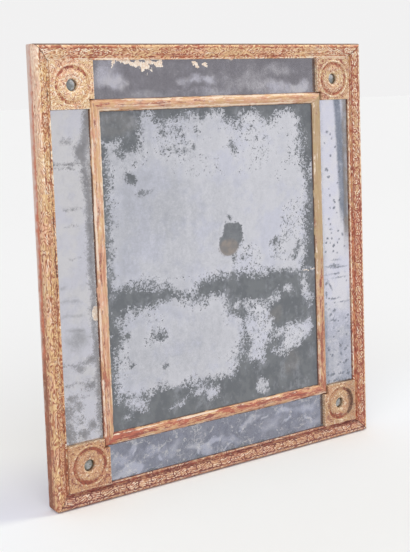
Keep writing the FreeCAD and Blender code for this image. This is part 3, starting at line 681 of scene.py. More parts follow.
def forged(name):
    """Old black iron with brown rust in patches and a little wear."""
    f = Finish(name)
    patches = f.noise(9, 5, 0.65)
    pits = f.noise(1.6, 4, 0.65, shift=2)
    colour = f.mix((patches + pits.swing(0.5)).step(0.42, 0.62), linear(58, 54, 52), linear(104, 66, 46))
    colour = f.mix(pits.step(0.6, 0.75) * 0.6, colour, linear(150, 96, 60))
    f.bump(patches + pits * 0.6, 0.35, 0.8)
    metal = f.blend(patches.step(0.42, 0.62), 0.75, 0.2)
    return f.set(colour=colour, metal=metal, rough=f.blend(pits, 0.45, 0.8))


def eye_silver(name):
    """The small round mirrors: clouded silver with dark freckles, painted shade towards the rim,
    and darker at the foot.
    """
    f = Finish(name)
    clouds = f.noise(13, 4, 0.6)
    freckles = f.noise(3.5, 4, 0.65, shift=3).step(0.56, 0.68)
    colour = f.mix(clouds.step(0.4, 0.6), (0.62, 0.62, 0.64), (0.24, 0.25, 0.25))
    colour = f.mix(freckles * 0.7, colour, (0.14, 0.15, 0.13))
    height = f.axis(f.place, "Z")
    # painted shade: darker towards the rim, under the hole's wall
    across = f.math("ABSOLUTE", f.axis(f.place, "X")) - BLOCK_X * MM
    up = f.math("ABSOLUTE", height - HEIGHT / 2 * MM) - (BLOCK_Z["top"] - HEIGHT / 2) * MM
    out = f.math("SQRT", across * across + up * up)
    colour = f.mix((out + clouds.swing(0.004)).step(0.0055, 0.009) * 0.75, colour, (0.1, 0.1, 0.075))
    colour = f.mix(height.step(0.4, 0.3), colour, f.mix(0.45, colour, (0.14, 0.135, 0.1)))
    f.bump(clouds, 0.3, 0.5)
    return f.set(colour=colour, metal=f.blend(freckles, 0.92, 0.3), rough=0.16, coat=0.4, coat_rough=0.05)


# Gilding: its shift, its gold, peach, cream, bole and deep bole for the screen, and how its marks run

GOLD = (232, 194, 142)
PEACH = (236, 186, 152)
CREAM = (252, 238, 214)
BOLE = (188, 104, 76)
DEEP_BOLE = (146, 72, 56)
EVEN = {"short": (1, 1, 1), "long": (1, 1, 1), "drawn": (1, 1, 1)}
RISING = {"short": (1, 1, 0.5), "long": (1, 1, 0.13), "drawn": (1, 1, 0.5)}
LYING = {"short": (0.5, 1, 1), "long": (0.13, 1, 1), "drawn": (0.5, 1, 1)}
BAR_RISING = {"short": (1, 1, 0.3), "long": (1, 1, 0.05), "drawn": (1, 1, 0.05)}
BAR_LYING = {"short": (0.3, 1, 1), "long": (0.05, 1, 1), "drawn": (0.05, 1, 1)}
GILT_LOOKS = {
    "left": (0.3, [GOLD, PEACH, CREAM, (184, 106, 72), (148, 82, 56)], {**RISING, "carve": 0.8}),
    "right": (1.1, [(224, 184, 142), (230, 176, 146), CREAM, BOLE, DEEP_BOLE], RISING),
    "top": (2.3, [(240, 202, 156), (242, 192, 160), CREAM, (198, 114, 82), (160, 84, 62)],
            {**LYING, "carve": 0.6}),
    "bottom": (3.7, [(200, 154, 124), (196, 140, 120), (232, 208, 184), (150, 80, 68), (108, 52, 48)],
               {**LYING, "carve": 1.1}),
    "upright_bar": (4.9, [(220, 182, 140), (224, 174, 146), (244, 224, 202), (178, 108, 84), (140, 80, 64)],
                    {**BAR_RISING, "scroll": 0.4, "blotch": 0.35}),
    "level_bar": (5.3, [(216, 176, 134), (216, 164, 136), (242, 220, 196), (176, 92, 74), (136, 64, 54)],
                  {**BAR_LYING, "scroll": 0.4, "blotch": 0.5}),
    "block": (5.7, [(236, 204, 158), (236, 192, 160), CREAM, (184, 104, 80), DEEP_BOLE],
              {**EVEN, "carve": 0.45, "scroll": 0.75, "blotch": 0.5}),
    "low_block": (6.9, [(212, 165, 124), (208, 154, 124), (240, 222, 192), (170, 94, 72), (134, 70, 58)],
                  {**EVEN, "carve": 0.4, "scroll": 0.75, "blotch": 0.4}),
}
GILT = {}
for name, (shift, colours, look) in GILT_LOOKS.items():
    GILT[name] = gilding(f"gilt_{name}", shift, colours, **look)

SEEDS = {"left": 11, "right": 23, "top": 37, "bottom": 41}

# Outer moulding: bole patches and dull places along each bar, by distance from its left or lower end
OUTER_WEAR = {
    "left": {
        "bole": {0: 0.36, 120: 0.34, 230: 0.3, 320: 0.19, 520: 0.06, 600: 0.08, 755: 0.1},
        "pale": {0: -0.3, 60: -0.15, 110: -0.03, 300: -0.05, 500: 0.04, 560: 0.14, 755: 0.2},
        "dull": {0: 0.12, 300: 0.15, 755: 0.0},
        "ash": {0: 0.0, 480: 0.0, 600: 0.3, 755: 0.62},
    },
    "right": {
        "bole": {0: 0.41, 200: 0.42, 420: 0.34, 560: 0.14, 755: 0.16},
        "pale": {0: 0.06, 500: 0.12, 755: 0.2},
        "dull": {0: 0.0, 500: 0.1, 755: 0.2},
    },
    "top": {
        "bole": {0: 0.05, 60: 0.08, 85: 0.3, 135: 0.24, 160: 0.1, 400: 0.08, 430: 0.16, 540: 0.14,
                 575: 0.02, 620: 0.2, 680: 0.18},
        "pale": {0: 0.35, 130: 0.25, 200: 0.02, 440: 0.0, 540: 0.12, 600: 0.35, 680: 0.4},
        "dull": {0: 0.0, 230: 0.1, 520: 0.1, 680: 0.0},
    },
    "bottom": {
        "bole": {0: 0.34, 60: 0.38, 150: 0.34, 260: 0.4, 420: 0.34, 520: 0.38, 680: 0.34},
        "pale": {0: 0.02, 680: 0.04},
        "dull": {0: 0.15, 680: 0.05},
    },
}


def outer_shape(side, s, v, u, h, length):
    """An outer moulding's carving, chips and wear, with painted shade and painted highlights: how far sunk,
    its shift and the fields.
    """
    start, end = (v[0, np.argmin(np.hypot(u[0] - a, h[0] - b))] for a, b in (CARVED_FROM, CARVED_TO))
    band = (v[0] > start - 0.3) & (v[0] < end - 0.2)
    seed = SEEDS[side]
    strokes = vine(length, start + 1.2, end - 1.4, VINE_PERIOD, seed)
    level = np.ones_like(s)
    level[:, band] = raised(s[:, band], v[:, band], strokes, 0.35 if side == "bottom" else 0.0)
    border = bell(v, start + 0.7, 0.45) + bell(v, end - 1.3, 0.45)
    level = np.where(band, np.clip(level - 0.6 * border, 0, 1), level)
    fade = window(start - 0.3, start + 0.8, end - 0.9, end, v)
    sunk = fade * (1 - level) * (0.5 + 0.35 * noise(s, v, 1.7, seed + 1, 2))
    # the hand-cut arrises wander and are chipped
    wander = noise(s, 0, 26, seed + 2) - 0.5
    chips = smooth(0.7, 0.8, noise(s, 0, 7, seed + 3))
    bead = smooth(GROOVE_END - 0.2, GROOVE_END + 0.1, u) * (h > GROOVE_RISE - 0.1)
    ridge = bell(v, end, 0.9)
    crown = window(2.6, 4.2, 6.5, 8.5, u) * (h > 13)
    sunk += bead * (0.25 * (wander + 0.5) + 0.6 * chips) * (u < FACE_WIDTH - 0.2)
    sunk += ridge * (0.25 * (wander + 0.5) + 0.35 * chips)
    sunk += crown * (0.12 + 0.12 * wander + 0.25 * smooth(0.72, 0.85, noise(s, v, 9, seed + 4)))
    groove = (u > CARVED_TO[0] + 0.1) & (u < GROOVE_END + 0.1)
    groove &= (h < GROOVE_RISE + 0.4) & (h > GROOVE_RISE - 0.6)
    wall = (h < 6.5) & (u < 1)
    flank = window(5.0, 8.0, 13.2, 14.6, h) * (u < 4)
    mitre = bell(s, u, 1.1) + bell(length - s, u, 1.1)
    wear = OUTER_WEAR[side]
    bole = along(s, wear["bole"]) + 0.3 * band * smooth(0.6, 0.75, noise(s, v, 40, seed + 5))
    bole += 0.06 * flank + 0.3 * groove + 0.3 * wall * (h < 2.5) - 0.14 * crown - 0.12 * bead
    bole += 0.5 * bell(h, 5.6, 0.9) * (u < 1) * smooth(0.25, 0.5, noise(s, 0, 50, seed + 7))
    # painted highlights: cream on the crown, the ridge, the bead and the raised strokes
    pale = along(s, wear["pale"]) + 0.2 * crown + 0.15 * ridge + 0.3 * bead + 0.05 * level * band
    # painted shade in the groove and along the lip's edge at the glass, and dark mitre joints
    dirt_and_shade = 0.35 * groove * (wander > 0) + 0.5 * (h < 3.2) * (u > 20) + 0.8 * mitre
    if side == "left":
        worn = bead * smooth(0.35, 0.6, noise(s, 0, 4, seed + 8))
        # the groove's share is painted shade
        dirt_and_shade += 0.42 * worn + 0.15 * groove
        bole += 0.4 * worn
        pale -= 0.2 * worn
    if side == "top":
        # painted shade: a dark line along the frame's top edge
        dirt_and_shade += 1.1 * (1 - smooth(2.2, 3.2, u)) * (h > 3)
        bole += 0.5 * crown
        pale -= 0.45 * crown
    dull = np.clip(along(s, wear["dull"]) + 0.25 * (noise(s, v, 60, seed + 6) - 0.4), 0, 1)
    ash = along(s, wear.get("ash", {0: 0.0})) * (u < 4.6)
    relief = np.where(band, level, 0.55)
    return sunk, 0, {"relief": relief, "bole": bole - 0.5 * ash, "pale": pale, "dull": dull, "dirt_and_shade": dirt_and_shade,
                     "ash": ash}


# Inner moulding: the same, with how the bole runs across the section, from 0 at its outer edge to 1
INNER_WEAR = {
    "left": {
        "bole": {0: 0.54, 90: 0.42, 200: 0.26, 300: 0.18, 380: 0.06, 577: 0.12},
        "across": {0: 0.2, 0.12: 0.1, 0.3: 0.16, 0.45: -0.05, 0.8: -0.1, 1: 0.0},
        # the rise in pale from 260 to 470 is a painted highlight streak
        "pale": {0: 0.05, 260: 0.1, 360: 0.25, 470: 0.2, 577: 0.15},
        "dull": {0: 0.1, 577: 0.0},
    },
    "right": {
        "bole": {0: 0.62, 120: 0.56, 210: 0.42, 250: 0.06, 577: 0.02},
        "across": {0: 0.0, 0.2: -0.1, 0.5: 0.12, 0.75: 0.0, 1: 0.0},
        "pale": {0: -0.04, 230: 0.04, 577: 0.02},
        "dull": {0: 0.15, 200: 0.3, 270: 0.85, 577: 0.95},
    },
    "top": {
        "bole": {0: 0.14, 120: 0.18, 260: 0.06, 490: 0.06},
        "across": {0: -0.1, 0.2: -0.05, 0.45: 0.2, 0.6: 0.05, 1: -0.05},
        "pale": {0: 0.22, 490: 0.28},
        "dull": {0: 0.1, 490: 0.15},
    },
    "bottom": {
        "bole": {0: 0.8, 50: 0.72, 90: 0.5, 260: 0.38, 490: 0.44},
        "across": {0: 0.1, 0.12: -0.1, 0.38: -0.06, 0.55: 0.2, 0.72: 0.3, 0.86: 0.0, 1: -0.2},
        "pale": {0: 0.05, 490: 0.08},
        "dull": {0: 0.05, 490: 0.05},
    },
}


def inner_shape(side, s, v, u, h, length):
    """An inner moulding's dents, wavering edges and wear, with painted shade at its edges and a painted
    highlight
    line: how far sunk, its shift and the fields.
    """
    seed = SEEDS[side] + 100
    inward = u > 10
    edges = 1 - smooth(3.0, 6.5, h)
    wander = noise(s, 0, 34, seed) - 0.5
    other = noise(s, 0, 21, seed + 1) - 0.5
    chips = smooth(0.66, 0.74, noise(s, inward * 90, 9, seed + 2))
    sunk = 0.25 * noise(s, v, 30, seed + 3) + 0.3 * noise(s, v, 5, seed + 4)
    sunk += 0.5 * chips * (h < 7.5) * (h > 3.5) + 0.45 * smooth(0.62, 0.72, noise(s, v, 13, seed + 5))
    shift = np.where(u < 10, 0.5 * (wander + 0.5), -0.5 * (other + 0.5)) * edges
    wear = INNER_WEAR[side]
    bole = along(s, wear["bole"]) + along(v / v[0, -1] + 0.12 * wander, wear["across"]) - 0.1 * edges
    bole += 0.3 * smooth(0.5, 0.75, noise(s, v * 5, 60, seed + 6)) - 0.08
    # painted highlight: a cream line along the rounded face
    line = window(6.0, 6.8, 8.2, 9.4, h)
    pale = along(s, wear["pale"]) + 0.55 * line * smooth(0.3, 0.55, noise(s, inward * 50, 40, seed + 10))
    # painted shade: a dark line at both edges, where the bar meets the glass; chips are darkened too
    rim = 1 - smooth(5.0, 6.2, h)
    dirt_and_shade = 0.45 * chips * edges + 0.95 * rim * smooth(0.25, 0.45, noise(s, 0, 30, seed + 8))
    # painted shadow along the outer edge of the bottom and the left bar, in the gap by the glass
    if side in ("bottom", "left"):
        depth = 4.0 if side == "bottom" else 2.2
        dirt_and_shade += 0.8 * (1 - smooth(depth / 2, depth, u)) * smooth(0.35, 0.55, noise(s, 0, 26, seed + 9))
    relief = 0.6 + 0.2 * (noise(s * 0.3, v, 3, seed + 7) - 0.5)
    return sunk, shift, {"relief": relief, "bole": bole, "pale": pale, "dull": along(s, wear["dull"]),
                         "dirt_and_shade": dirt_and_shade, "ash": 0 * s}


# Rosette blocks: how worn the cove is, by the turn in degrees anticlockwise from the right, how worn the face
# is, and for one block the strength of painted shade over its right side. Red patches have their amount
# first.
BLOCK_WEAR = {
    "top_left": {
        "cove": {0: 0.15, 30: 0.5, 49: 0.95, 75: 0.6, 100: 0.5, 120: 0.7, 150: 0.55, 180: 0.8, 205: 0.9,
                 240: 0.75, 270: 0.35, 320: 0.1, 360: 0.15},
        "face": 0.04, "dull": 0.05, "pale": 0.24,
    },
    "bottom_left": {
        "cove": {0: 0.9, 50: 1.0, 90: 0.6, 130: 0.9, 185: 0.95, 215: 0.45, 245: 0.85, 300: 0.3, 330: 0.5,
                 360: 0.9},
        "red": [(0.4, 19, 20, 10, 7), (0.9, -10, -27, 16, 6)],
        "face": 0.14, "dull": 0.25, "pale": 0.14,
    },
    "top_right": {
        "cove": {0: 0.3, 40: 0.5, 90: 0.3, 130: 0.4, 250: 0.5, 300: 0.7, 360: 0.3},
        "face": 0.2, "dull": 0.35, "pale": 0.2,
    },
    "bottom_right": {
        "cove": {0: 0.3, 60: 0.4, 120: 0.35, 200: 0.4, 250: 0.95, 300: 0.9, 350: 0.3, 360: 0.3},
        "red": [(0.8, -8, -23, 22, 9), (-0.4, -30, 22, 16, 24)],
        "face": 0.04, "dull": 0.4, "pale": 0.2, "right_side_shade": 0.64,
    },
}


def rosette_strokes(seed):
    """A block's carving: a wave and scrolls round its cup, and a scroll with two leaves in each corner."""
    ring = np.linspace(0, 2 * math.pi, 900)
    wave = CUP_RADIUS + 1.9 * np.sin(ring * 9 + seed)
    strokes = [np.stack([wave * np.cos(ring), wave * np.sin(ring), np.full_like(ring, 0.75)], 1)]
    rng = np.random.default_rng(seed)
    for k in range(CUP_SCROLLS):
        t = (k + 0.25) / CUP_SCROLLS * 2 * math.pi - seed / 9
        side = 1 if k % 2 else -1
        radius = CUP_RADIUS + side * 2.4
        strokes.append(spiral(radius * math.cos(t), radius * math.sin(t), t, 1.1, 2.1, 0.7, side))
    for k in range(4):
        t = math.radians(45 + 90 * k)
        x, y = CORNER_SCROLL * math.cos(t), CORNER_SCROLL * math.sin(t)
        strokes.append(spiral(x, y, t + math.pi, 1.3, 4.2, 0.9, 1))
        for way in (-1, 1):
            heading = t - way * 1.9 + rng.uniform(-0.2, 0.2)
            strokes.append(curl(x + 4 * math.sin(t) * way, y - 4 * math.cos(t) * way, heading, 13, way * 0.7))
    return np.concatenate(strokes)


def block_shape(corner, seed, a, b, radius, rise):
    """A block's carving and wear at each point, with painted shade and painted highlights: how far sunk, and
    the fields.
    """
    wear = BLOCK_WEAR[corner]
    angle = np.degrees(np.arctan2(b, a)) % 360
    level = raised(a, b, rosette_strokes(seed))
    edge = np.maximum(np.abs(a), np.abs(b))
    cup = window(EYE_RIM + 1, EYE_RIM + 1.8, CUP_RIM - 1.6, CUP_RIM - 0.6, radius)
    border = smooth(BLOCK_HALF - 2.2, BLOCK_HALF - 1.2, edge)
    plain = smooth(BEAD_RIM + 0.8, BEAD_RIM + 1.8, radius) * (1 - border)
    carved = np.maximum(cup * 0.5, plain)
    sunk = carved * (1 - level) * (0.28 + 0.2 * noise(a, b, 1.8, seed, 2)) * (rise > BLOCK_RISE - 0.9)
    cove = window(CUP_RIM + 0.1, CUP_RIM + 0.8, COVE_RIM - 0.8, COVE_RIM, radius) * (rise < BLOCK_RISE - 0.2)
    bead = window(COVE_RIM + 0.2, COVE_RIM + 0.8, BEAD_RIM - 0.2, BEAD_RIM + 0.4, radius)
    eye = 1 - smooth(EYE_RIM - 0.4, EYE_RIM + 0.8, radius)
    chips = smooth(0.7, 0.8, noise(angle * 0.6, 0, 9, seed + 2))
    sunk += bead * (0.15 * noise(angle * 0.6, 0, 14, seed + 3) + 0.5 * chips)
    broken = 0.4 + 0.9 * smooth(0.3, 0.6, noise(angle * 0.6, radius, 11, seed + 7))
    rims = bell(radius, CUP_RIM - 0.6, 0.6) + 0.8 * bell(radius, EYE_RIM + 3, 0.5)
    bole = wear["face"] + cove * along(angle, wear["cove"]) * broken - 0.06 * bead - 0.08 * eye + 0.3 * rims
    bole += 0.16 * smooth(0.6, 0.75, noise(a, b, 16, seed + 4)) * (1 - cove)
    bole += clouded(a, b, wear.get("red", []), 0.6) * smooth(0.3, 0.55, noise(a, b, 9, seed + 8))
    # painted highlights: cream on the bead, round the eye and along the block's edges
    pale = wear["pale"] + 0.16 * bead + 0.14 * eye - 0.25 * cove
    pale += 0.2 * smooth(BLOCK_HALF - 1.6, BLOCK_HALF - 0.4, edge)
    # painted shade on the eye's wall; dark specks in the cove
    dirt_and_shade = 0.5 * (rise < 3.4) + 0.25 * cove * (noise(a, b, 3, seed + 5) > 0.55)
    # painted shade over the block's right side
    right_side_shade = smooth(2, 24, a) * smooth(9, 20, radius) * (1 - 0.35 * smooth(31, 36, radius))
    dirt_and_shade += wear.get("right_side_shade", 0) * right_side_shade
    dull = np.clip(wear["dull"] + 0.3 * (noise(a, b, 30, seed + 6) - 0.5), 0, 1)
    relief = np.where(plain > 0.3, level, 0.55 + (level - 0.55) * 0.6 * (carved > 0.3))
    return sunk, {"relief": relief, "bole": bole, "pale": pale, "dull": dull, "dirt_and_shade": dirt_and_shade, "ash": 0 * a}


# Centre plate: outlines of the lost silvering and of what is left within it, in mm across and up
CENTRE_LOST = [
    [(-236, 660), (-140, 660), (-134, 640), (-148, 623), (-149, 601), (-157, 579), (-183, 570), (-195, 582),
     (-188, 596), (-206, 598), (-222, 594), (-236, 597)],
    [(-134, 660), (236, 660), (236, 560), (210, 503), (202, 529), (196, 566), (193, 597), (197, 621),
     (182, 626), (174, 636), (151, 634), (135, 625), (119, 616), (111, 624), (82, 636), (60, 636),
     (51, 619), (30, 626), (20, 637), (-5, 636), (-27, 630), (-43, 638), (-54, 632), (-75, 629), (-95, 627),
     (-115, 629), (-128, 637)],
    [(210, 503), (236, 503), (236, 331), (188, 336), (199, 365), (206, 396), (203, 424), (208, 441),
     (213, 472)],
    [(-92, 319), (-67, 326), (-50, 323), (-39, 342), (-17, 345), (5, 349), (52, 346), (90, 341), (140, 340),
     (188, 336), (236, 331), (236, 96), (-48, 96), (-46, 160), (-25, 164), (19, 162), (35, 177), (43, 204),
     (48, 224), (56, 242), (49, 261), (27, 270), (20, 289), (14, 315), (-8, 317), (-33, 312), (-54, 316),
     (-68, 314)],
    [(-236, 341), (-224, 341), (-187, 347), (-155, 351), (-108, 343), (-98, 333), (-92, 317), (-123, 318),
     (-150, 313), (-182, 312), (-196, 297), (-212, 290), (-236, 312)],
    [(-236, 610), (-216, 590), (-212, 500), (-212, 440), (-213, 395), (-211, 340), (-210, 311), (-200, 281),
     (-203, 253), (-212, 227), (-215, 199), (-212, 176), (-214, 131), (-236, 110)],
    [(-236, 158), (-196, 166), (-157, 161), (-123, 167), (-96, 162), (-57, 162), (-36, 155), (-3, 167),
     (0, 96), (-236, 96)],
]
CENTRE_LEFT = [
    [(66, 298), (96, 291), (114, 270), (121, 238), (116, 220), (101, 210), (95, 176), (76, 180), (58, 189),
     (66, 209), (59, 235), (53, 260), (69, 277)],
    [(125, 237), (153, 236), (181, 235), (209, 241), (217, 223), (208, 205), (183, 196), (163, 187),
     (143, 181), (119, 191), (120, 200), (139, 194), (148, 215), (128, 224)],
    [(-197, 157), (-177, 159), (-154, 152), (-158, 138), (-178, 141), (-194, 148)],
    [(-40, 147), (-22, 151), (-4, 148), (-4, 129), (-23, 126), (-35, 133)],
]

# Small losses, and flecks of silver left in the large ones
CENTRE_SPOTS = [
    (-173, 531, 14, 11, -20), (41, 571, 4, 10, 20), (-122, 258, 10, 7, -10), (-186, 219, 5, 4),
    (133, 397, 9, 8), (183, 381, 5, 11, -25), (172, 366, 4, 6, -20), (27, 449, 4, 5), (62, 379, 5, 4),
    (38, 376, 4, 5), (-66, 604, 5, 4), (-32, 610, 4, 4), (-100, 606, 4, 3), (-62, 572, 4, 3),
    (-42, 582, 3, 4), (-150, 505, 9, 3, 10), (-92, 324, 14, 5, 12), (-206, 262, 7, 10),
    (-190, 266, 8, 6, 20), (-138, 262, 6, 6), (-170, 318, 8, 3, 20), (-118, 210, 4, 3), (-206, 168, 5, 5),
]
CENTRE_FLECKS = [
    (92, 132, 12, 12, 20), (156, 306, 7, 6), (203, 295, 8, 22, 10), (-195, 128, 4, 3),
    (-86, 133, 10, 3, 20), (120, 292, 14, 7, 20), (66, 284, 9, 8), (40, 290, 6, 8), (-50, 150, 12, 6, 10),
]

# Where the silver is peppered with small losses, with the amount first
CENTRE_DUST = [
    (0.95, -85, 592, 62, 46), (0.9, -20, 606, 60, 30), (0.85, 90, 602, 100, 36), (1.0, 66, 372, 46, 36),
    (1.0, 152, 382, 50, 42), (0.95, 205, 440, 30, 90), (0.95, 158, 528, 34, 26), (0.75, -170, 575, 56, 40),
    (0.7, -160, 286, 80, 20, 5), (0.7, -20, 300, 80, 16), (0.65, -150, 262, 70, 30), (0.7, 36, 246, 40, 80),
    (0.6, -212, 420, 22, 200), (0.8, -205, 250, 26, 130), (0.7, 10, 190, 40, 20), (0.55, 20, 560, 200, 60),
    (0.8, 190, 560, 40, 90), (0.6, -120, 350, 120, 20), (1.25, 52, 612, 24, 14), (1.25, 122, 609, 26, 15),
    (1.15, -84, 612, 40, 14), (0.9, 100, 552, 16, 10), (1.1, 150, 520, 24, 20), (0.85, 175, 420, 46, 70),
]


def peppered(x, z, gone, zones, seed):
    """How crumbled the silver is, near what is lost and in the zones, and how much the zones lose."""
    patchy = 0.35 + 0.65 * smooth(0.3, 0.7, noise(x, z, 34, seed))
    near_edge = (1 - smooth(4, 26, np.abs(gone + 6))) * patchy
    zone = patchy * np.max([amount * smooth(0, 0.5, near(x, z, spot)) for amount, *spot in zones], axis=0)
    return np.maximum(np.maximum(near_edge, smooth(0, 0.6, zone)), 0.22), zone


def centre_shape(x, z):
    wx, wz = stirred(x, z, (30, 15, 71), (11, 9, 73))
    gone = np.max([inside(wx, wz, outline) for outline in CENTRE_LOST], axis=0)
    kept = np.max([inside(wx, wz, outline) for outline in CENTRE_LEFT], axis=0)
    gone = np.minimum(gone, -np.clip(kept * 1.2, None, 10))
    dust, zone = peppered(x, z, gone, CENTRE_DUST, 78)
    gone = np.maximum(gone, deepest(wx, wz, CENTRE_SPOTS, 0.85, 0.85) * 2)
    gone = np.minimum(gone, -np.clip(deepest(wx, wz, CENTRE_FLECKS, 1.2, 1.2), None, 3.5))
    crack = np.abs(z - 334 - 0.9 * np.sin(x / 3.1) - (x - 200) * 0.02) < 0.9
    flake = 0.7 * (crack & (x > 192) & (x < 226))
    oval = (1 - (np.abs((x - 36) / 20.5)**4 + np.abs((z - 420 + 0.12 * (x - 36)) / 19)**4)**0.25) * 18
    tail = (1 - np.hypot((x - 27) / 22, (z - 402) / 20)) * 18
    stain = np.clip(0.5 + np.maximum(oval, tail) / 16, 0, 1)
    fringe = smooth(0.08, 0.45, stain)
    brown = smooth(0.0, 0.35, near(x, z, (26, 396, 25, 18))) * 0.85
    for amount, *spot in ((0.22, 128, 262, 26, 20), (0.2, 165, 165, 30, 34, -20), (0.15, -190, 625, 60, 30)):
        brown = np.maximum(brown, amount * smooth(0.1, 0.6, near(wx, wz, spot)))
    tone = 0.26 + 0.24 * smooth(180, -230, x) + 0.1 * smooth(300, 600, z) * smooth(120, -200, x)
    tone += 0.14 * (noise(x * 0.4, z, 14, 75) - 0.5) * smooth(420, 500, z) * smooth(80, -60, x)
    loss = np.clip(np.max([0.5 + gone / 50, 0.34 * zone, 0.33 * fringe], axis=0), 0.02, 1)
    return {"loss": loss, "tone": tone, "flake": flake, "brown": brown, "stain": stain,
            "dust": np.maximum(dust, fringe)}


# Top plate: flakes, and clouds with the amount first
TOP_FLAKES = [
    (-184, 727, 13, 7), (-166, 725, 12, 6), (-148, 722, 10, 6), (-138, 714, 8, 9, 30), (-128, 712, 7, 7),
    (-122, 722, 8, 6), (-106, 724, 11, 6), (-36, 724, 8, 6), (-30, 717, 5, 5), (-12, 721, 6, 6),
    (22, 728, 12, 4), (42, 729, 14, 4),
]
TOP_CLOUDS = [
    (0.75, -206, 706, 26, 26, -30), (0.7, -192, 690, 16, 12), (0.5, -62, 693, 16, 10),
    (0.7, -36, 694, 14, 9), (0.8, -5, 694, 16, 10), (0.3, -128, 669, 40, 9), (0.3, 70, 684, 60, 16),
    (0.55, 150, 676, 55, 14), (0.7, 205, 676, 28, 14), (0.35, 150, 712, 40, 12), (0.2, 90, 700, 40, 8),
    (0.25, 0, 672, 60, 8),
]


def top_shape(x, z):
    x, z = stirred(*stirred(x, z, (26, 24, 61)), (8, 10, 63))
    tone = 0.84 - 0.95 * clouded(x, z, TOP_CLOUDS, 1, 1.55, 1.5) + 0.2 * (noise(x * 0.35, z, 14, 83) - 0.5)
    flake = np.max([near(x, z, spot, 1.5, 1.6) for spot in TOP_FLAKES], axis=0) * 1.5
    loss = 0.12 + 0.3 * smooth(658, 655, z)
    return {"loss": loss, "tone": tone, "flake": np.clip(flake, 0, 1), "dust": 0.2}


# Left plate: dark lines across it (height, start, end, thickness), heights of faint streaks, lost spots, and
# by height the edge and the width of the dark strip beside the inner moulding
LEFT_LINES = [
    (564, -314, -262, 3.0), (558, -314, -272, 1.7), (491, -300, -262, 1.6), (463, -300, -270, 1.0),
    (410, -296, -268, 1.0), (236, -314, -262, 2.2), (205, -314, -275, 1.4), (180, -312, -262, 1.6),
]
LEFT_STREAKS = (366, 341, 316, 293)
LEFT_SPOTS = [
    (-286, 600, 2.5, 1.4), (-281, 227, 5, 4), (-260, 240, 12, 5, 15), (-299, 180, 8, 6), (-286, 144, 4, 4),
    (-306, 124, 12, 20), (-306, 160, 9, 14), (-280, 118, 10, 8), (-262, 130, 9, 8), (-262, 200, 9, 5, 20),
    (-288, 165, 8, 6), (-262, 582, 12, 16, 15),
]
LEFT_EDGE = {104: -246, 150: -250, 200: -247, 250: -250, 300: -255, 331: -254, 345: -252, 420: -256,
             500: -254, 560: -262, 585: -265, 610: -256, 650: -250}
LEFT_STRIP = {104: 5, 250: 6, 330: 5, 420: 7, 560: 10, 600: 12, 650: 6}


def left_shape(x, z):
    band = x - along(z, LEFT_EDGE) - (noise(x, z, 18, 91) - 0.5) * 7
    gone = np.minimum(band, along(z, LEFT_STRIP) - band)
    for height, start, end, thick in LEFT_LINES:
        level = height + (noise(x, 0, 16, height) - 0.5) * 5
        between = window(start - 4, start + 4, end - 4, end + 4, x)
        line = thick - np.abs(z - level) - 6 * (1 - between)
        gone = np.maximum(gone, line * 1.4 - 3.8)
    gone = np.maximum(gone, deepest(x, z, LEFT_SPOTS, 0.75, 0.75))
    tone = 0.16 + 0.35 * smooth(300, 180, z) * noise(x, z, 24, 92) + 0.3 * smooth(-256, -248, x)
    tone -= 0.2 * smooth(200, 160, z)
    for height in LEFT_STREAKS:
        level = height + (noise(x, 0, 30, height) - 0.5) * 8
        streak = smooth(4.5, 0.5, np.abs(z - level)) * smooth(0.35, 0.6, noise(x, z, 26, 95))
        tone += 0.3 * streak * window(-318, -306, -276, -262, x)
    tone += 0.5 * smooth(0, 0.8, near(x, z, (-282, 277, 30, 26)))
    patch = near(x, z, (-247.5, 316, 8, 15))
    flake = np.maximum(np.clip(patch * 3, 0, 1), 0.42 * smooth(-246.5, -243.5, x + 2 * noise(x, z, 20, 93)))
    brown = np.maximum(0.35 * smooth(-252, -246, x), 0.4 * smooth(0, 0.2, patch))
    dust = 0.15 + 0.55 * smooth(240, 150, z) * smooth(0.35, 0.6, noise(x, z, 22, 94))
    dust += 0.4 * smooth(9, 3, np.abs(z - 559))
    loss = np.clip(0.5 + gone / 34, 0.05, 1)
    return {"loss": loss, "tone": tone, "flake": flake, "brown": brown, "dust": dust}


# Right plate: lost spots, the number of fine specks, and by height the middle of its dark band, a painted
# reflection
RIGHT_SPOTS = [
    (262, 590, 4, 3), (270, 545, 3, 3), (258, 520, 5, 5), (262, 505, 3, 3), (290, 460, 4, 4),
    (266, 470, 3, 4), (276, 445, 4, 4), (262, 425, 3, 3), (301, 420, 4, 5), (266, 405, 4, 3),
    (285, 400, 3, 3), (296, 392, 3, 4), (258, 388, 4, 3), (272, 372, 4, 4), (276, 345, 8, 2),
    (268, 334, 14, 1.6), (284, 330, 16, 1.6), (272, 318, 16, 1.6), (290, 310, 14, 1.6),
    (262, 296, 12, 3, -60), (272, 270, 12, 2), (292, 262, 12, 2.5), (262, 240, 5, 4), (266, 228, 10, 2.5),
    (280, 205, 4, 3), (268, 196, 4, 4), (284, 176, 5, 5), (298, 168, 5, 6), (262, 160, 5, 4),
    (300, 145, 5, 5), (278, 140, 4, 4), (290, 122, 5, 4), (262, 122, 6, 4), (302, 118, 6, 6),
    (272, 110, 7, 4),
]
RIGHT_SPECKS = 90
RIGHT_REFLECTION_BAND = {380: 300, 440: 298, 540: 294, 630: 290, 650: 288}


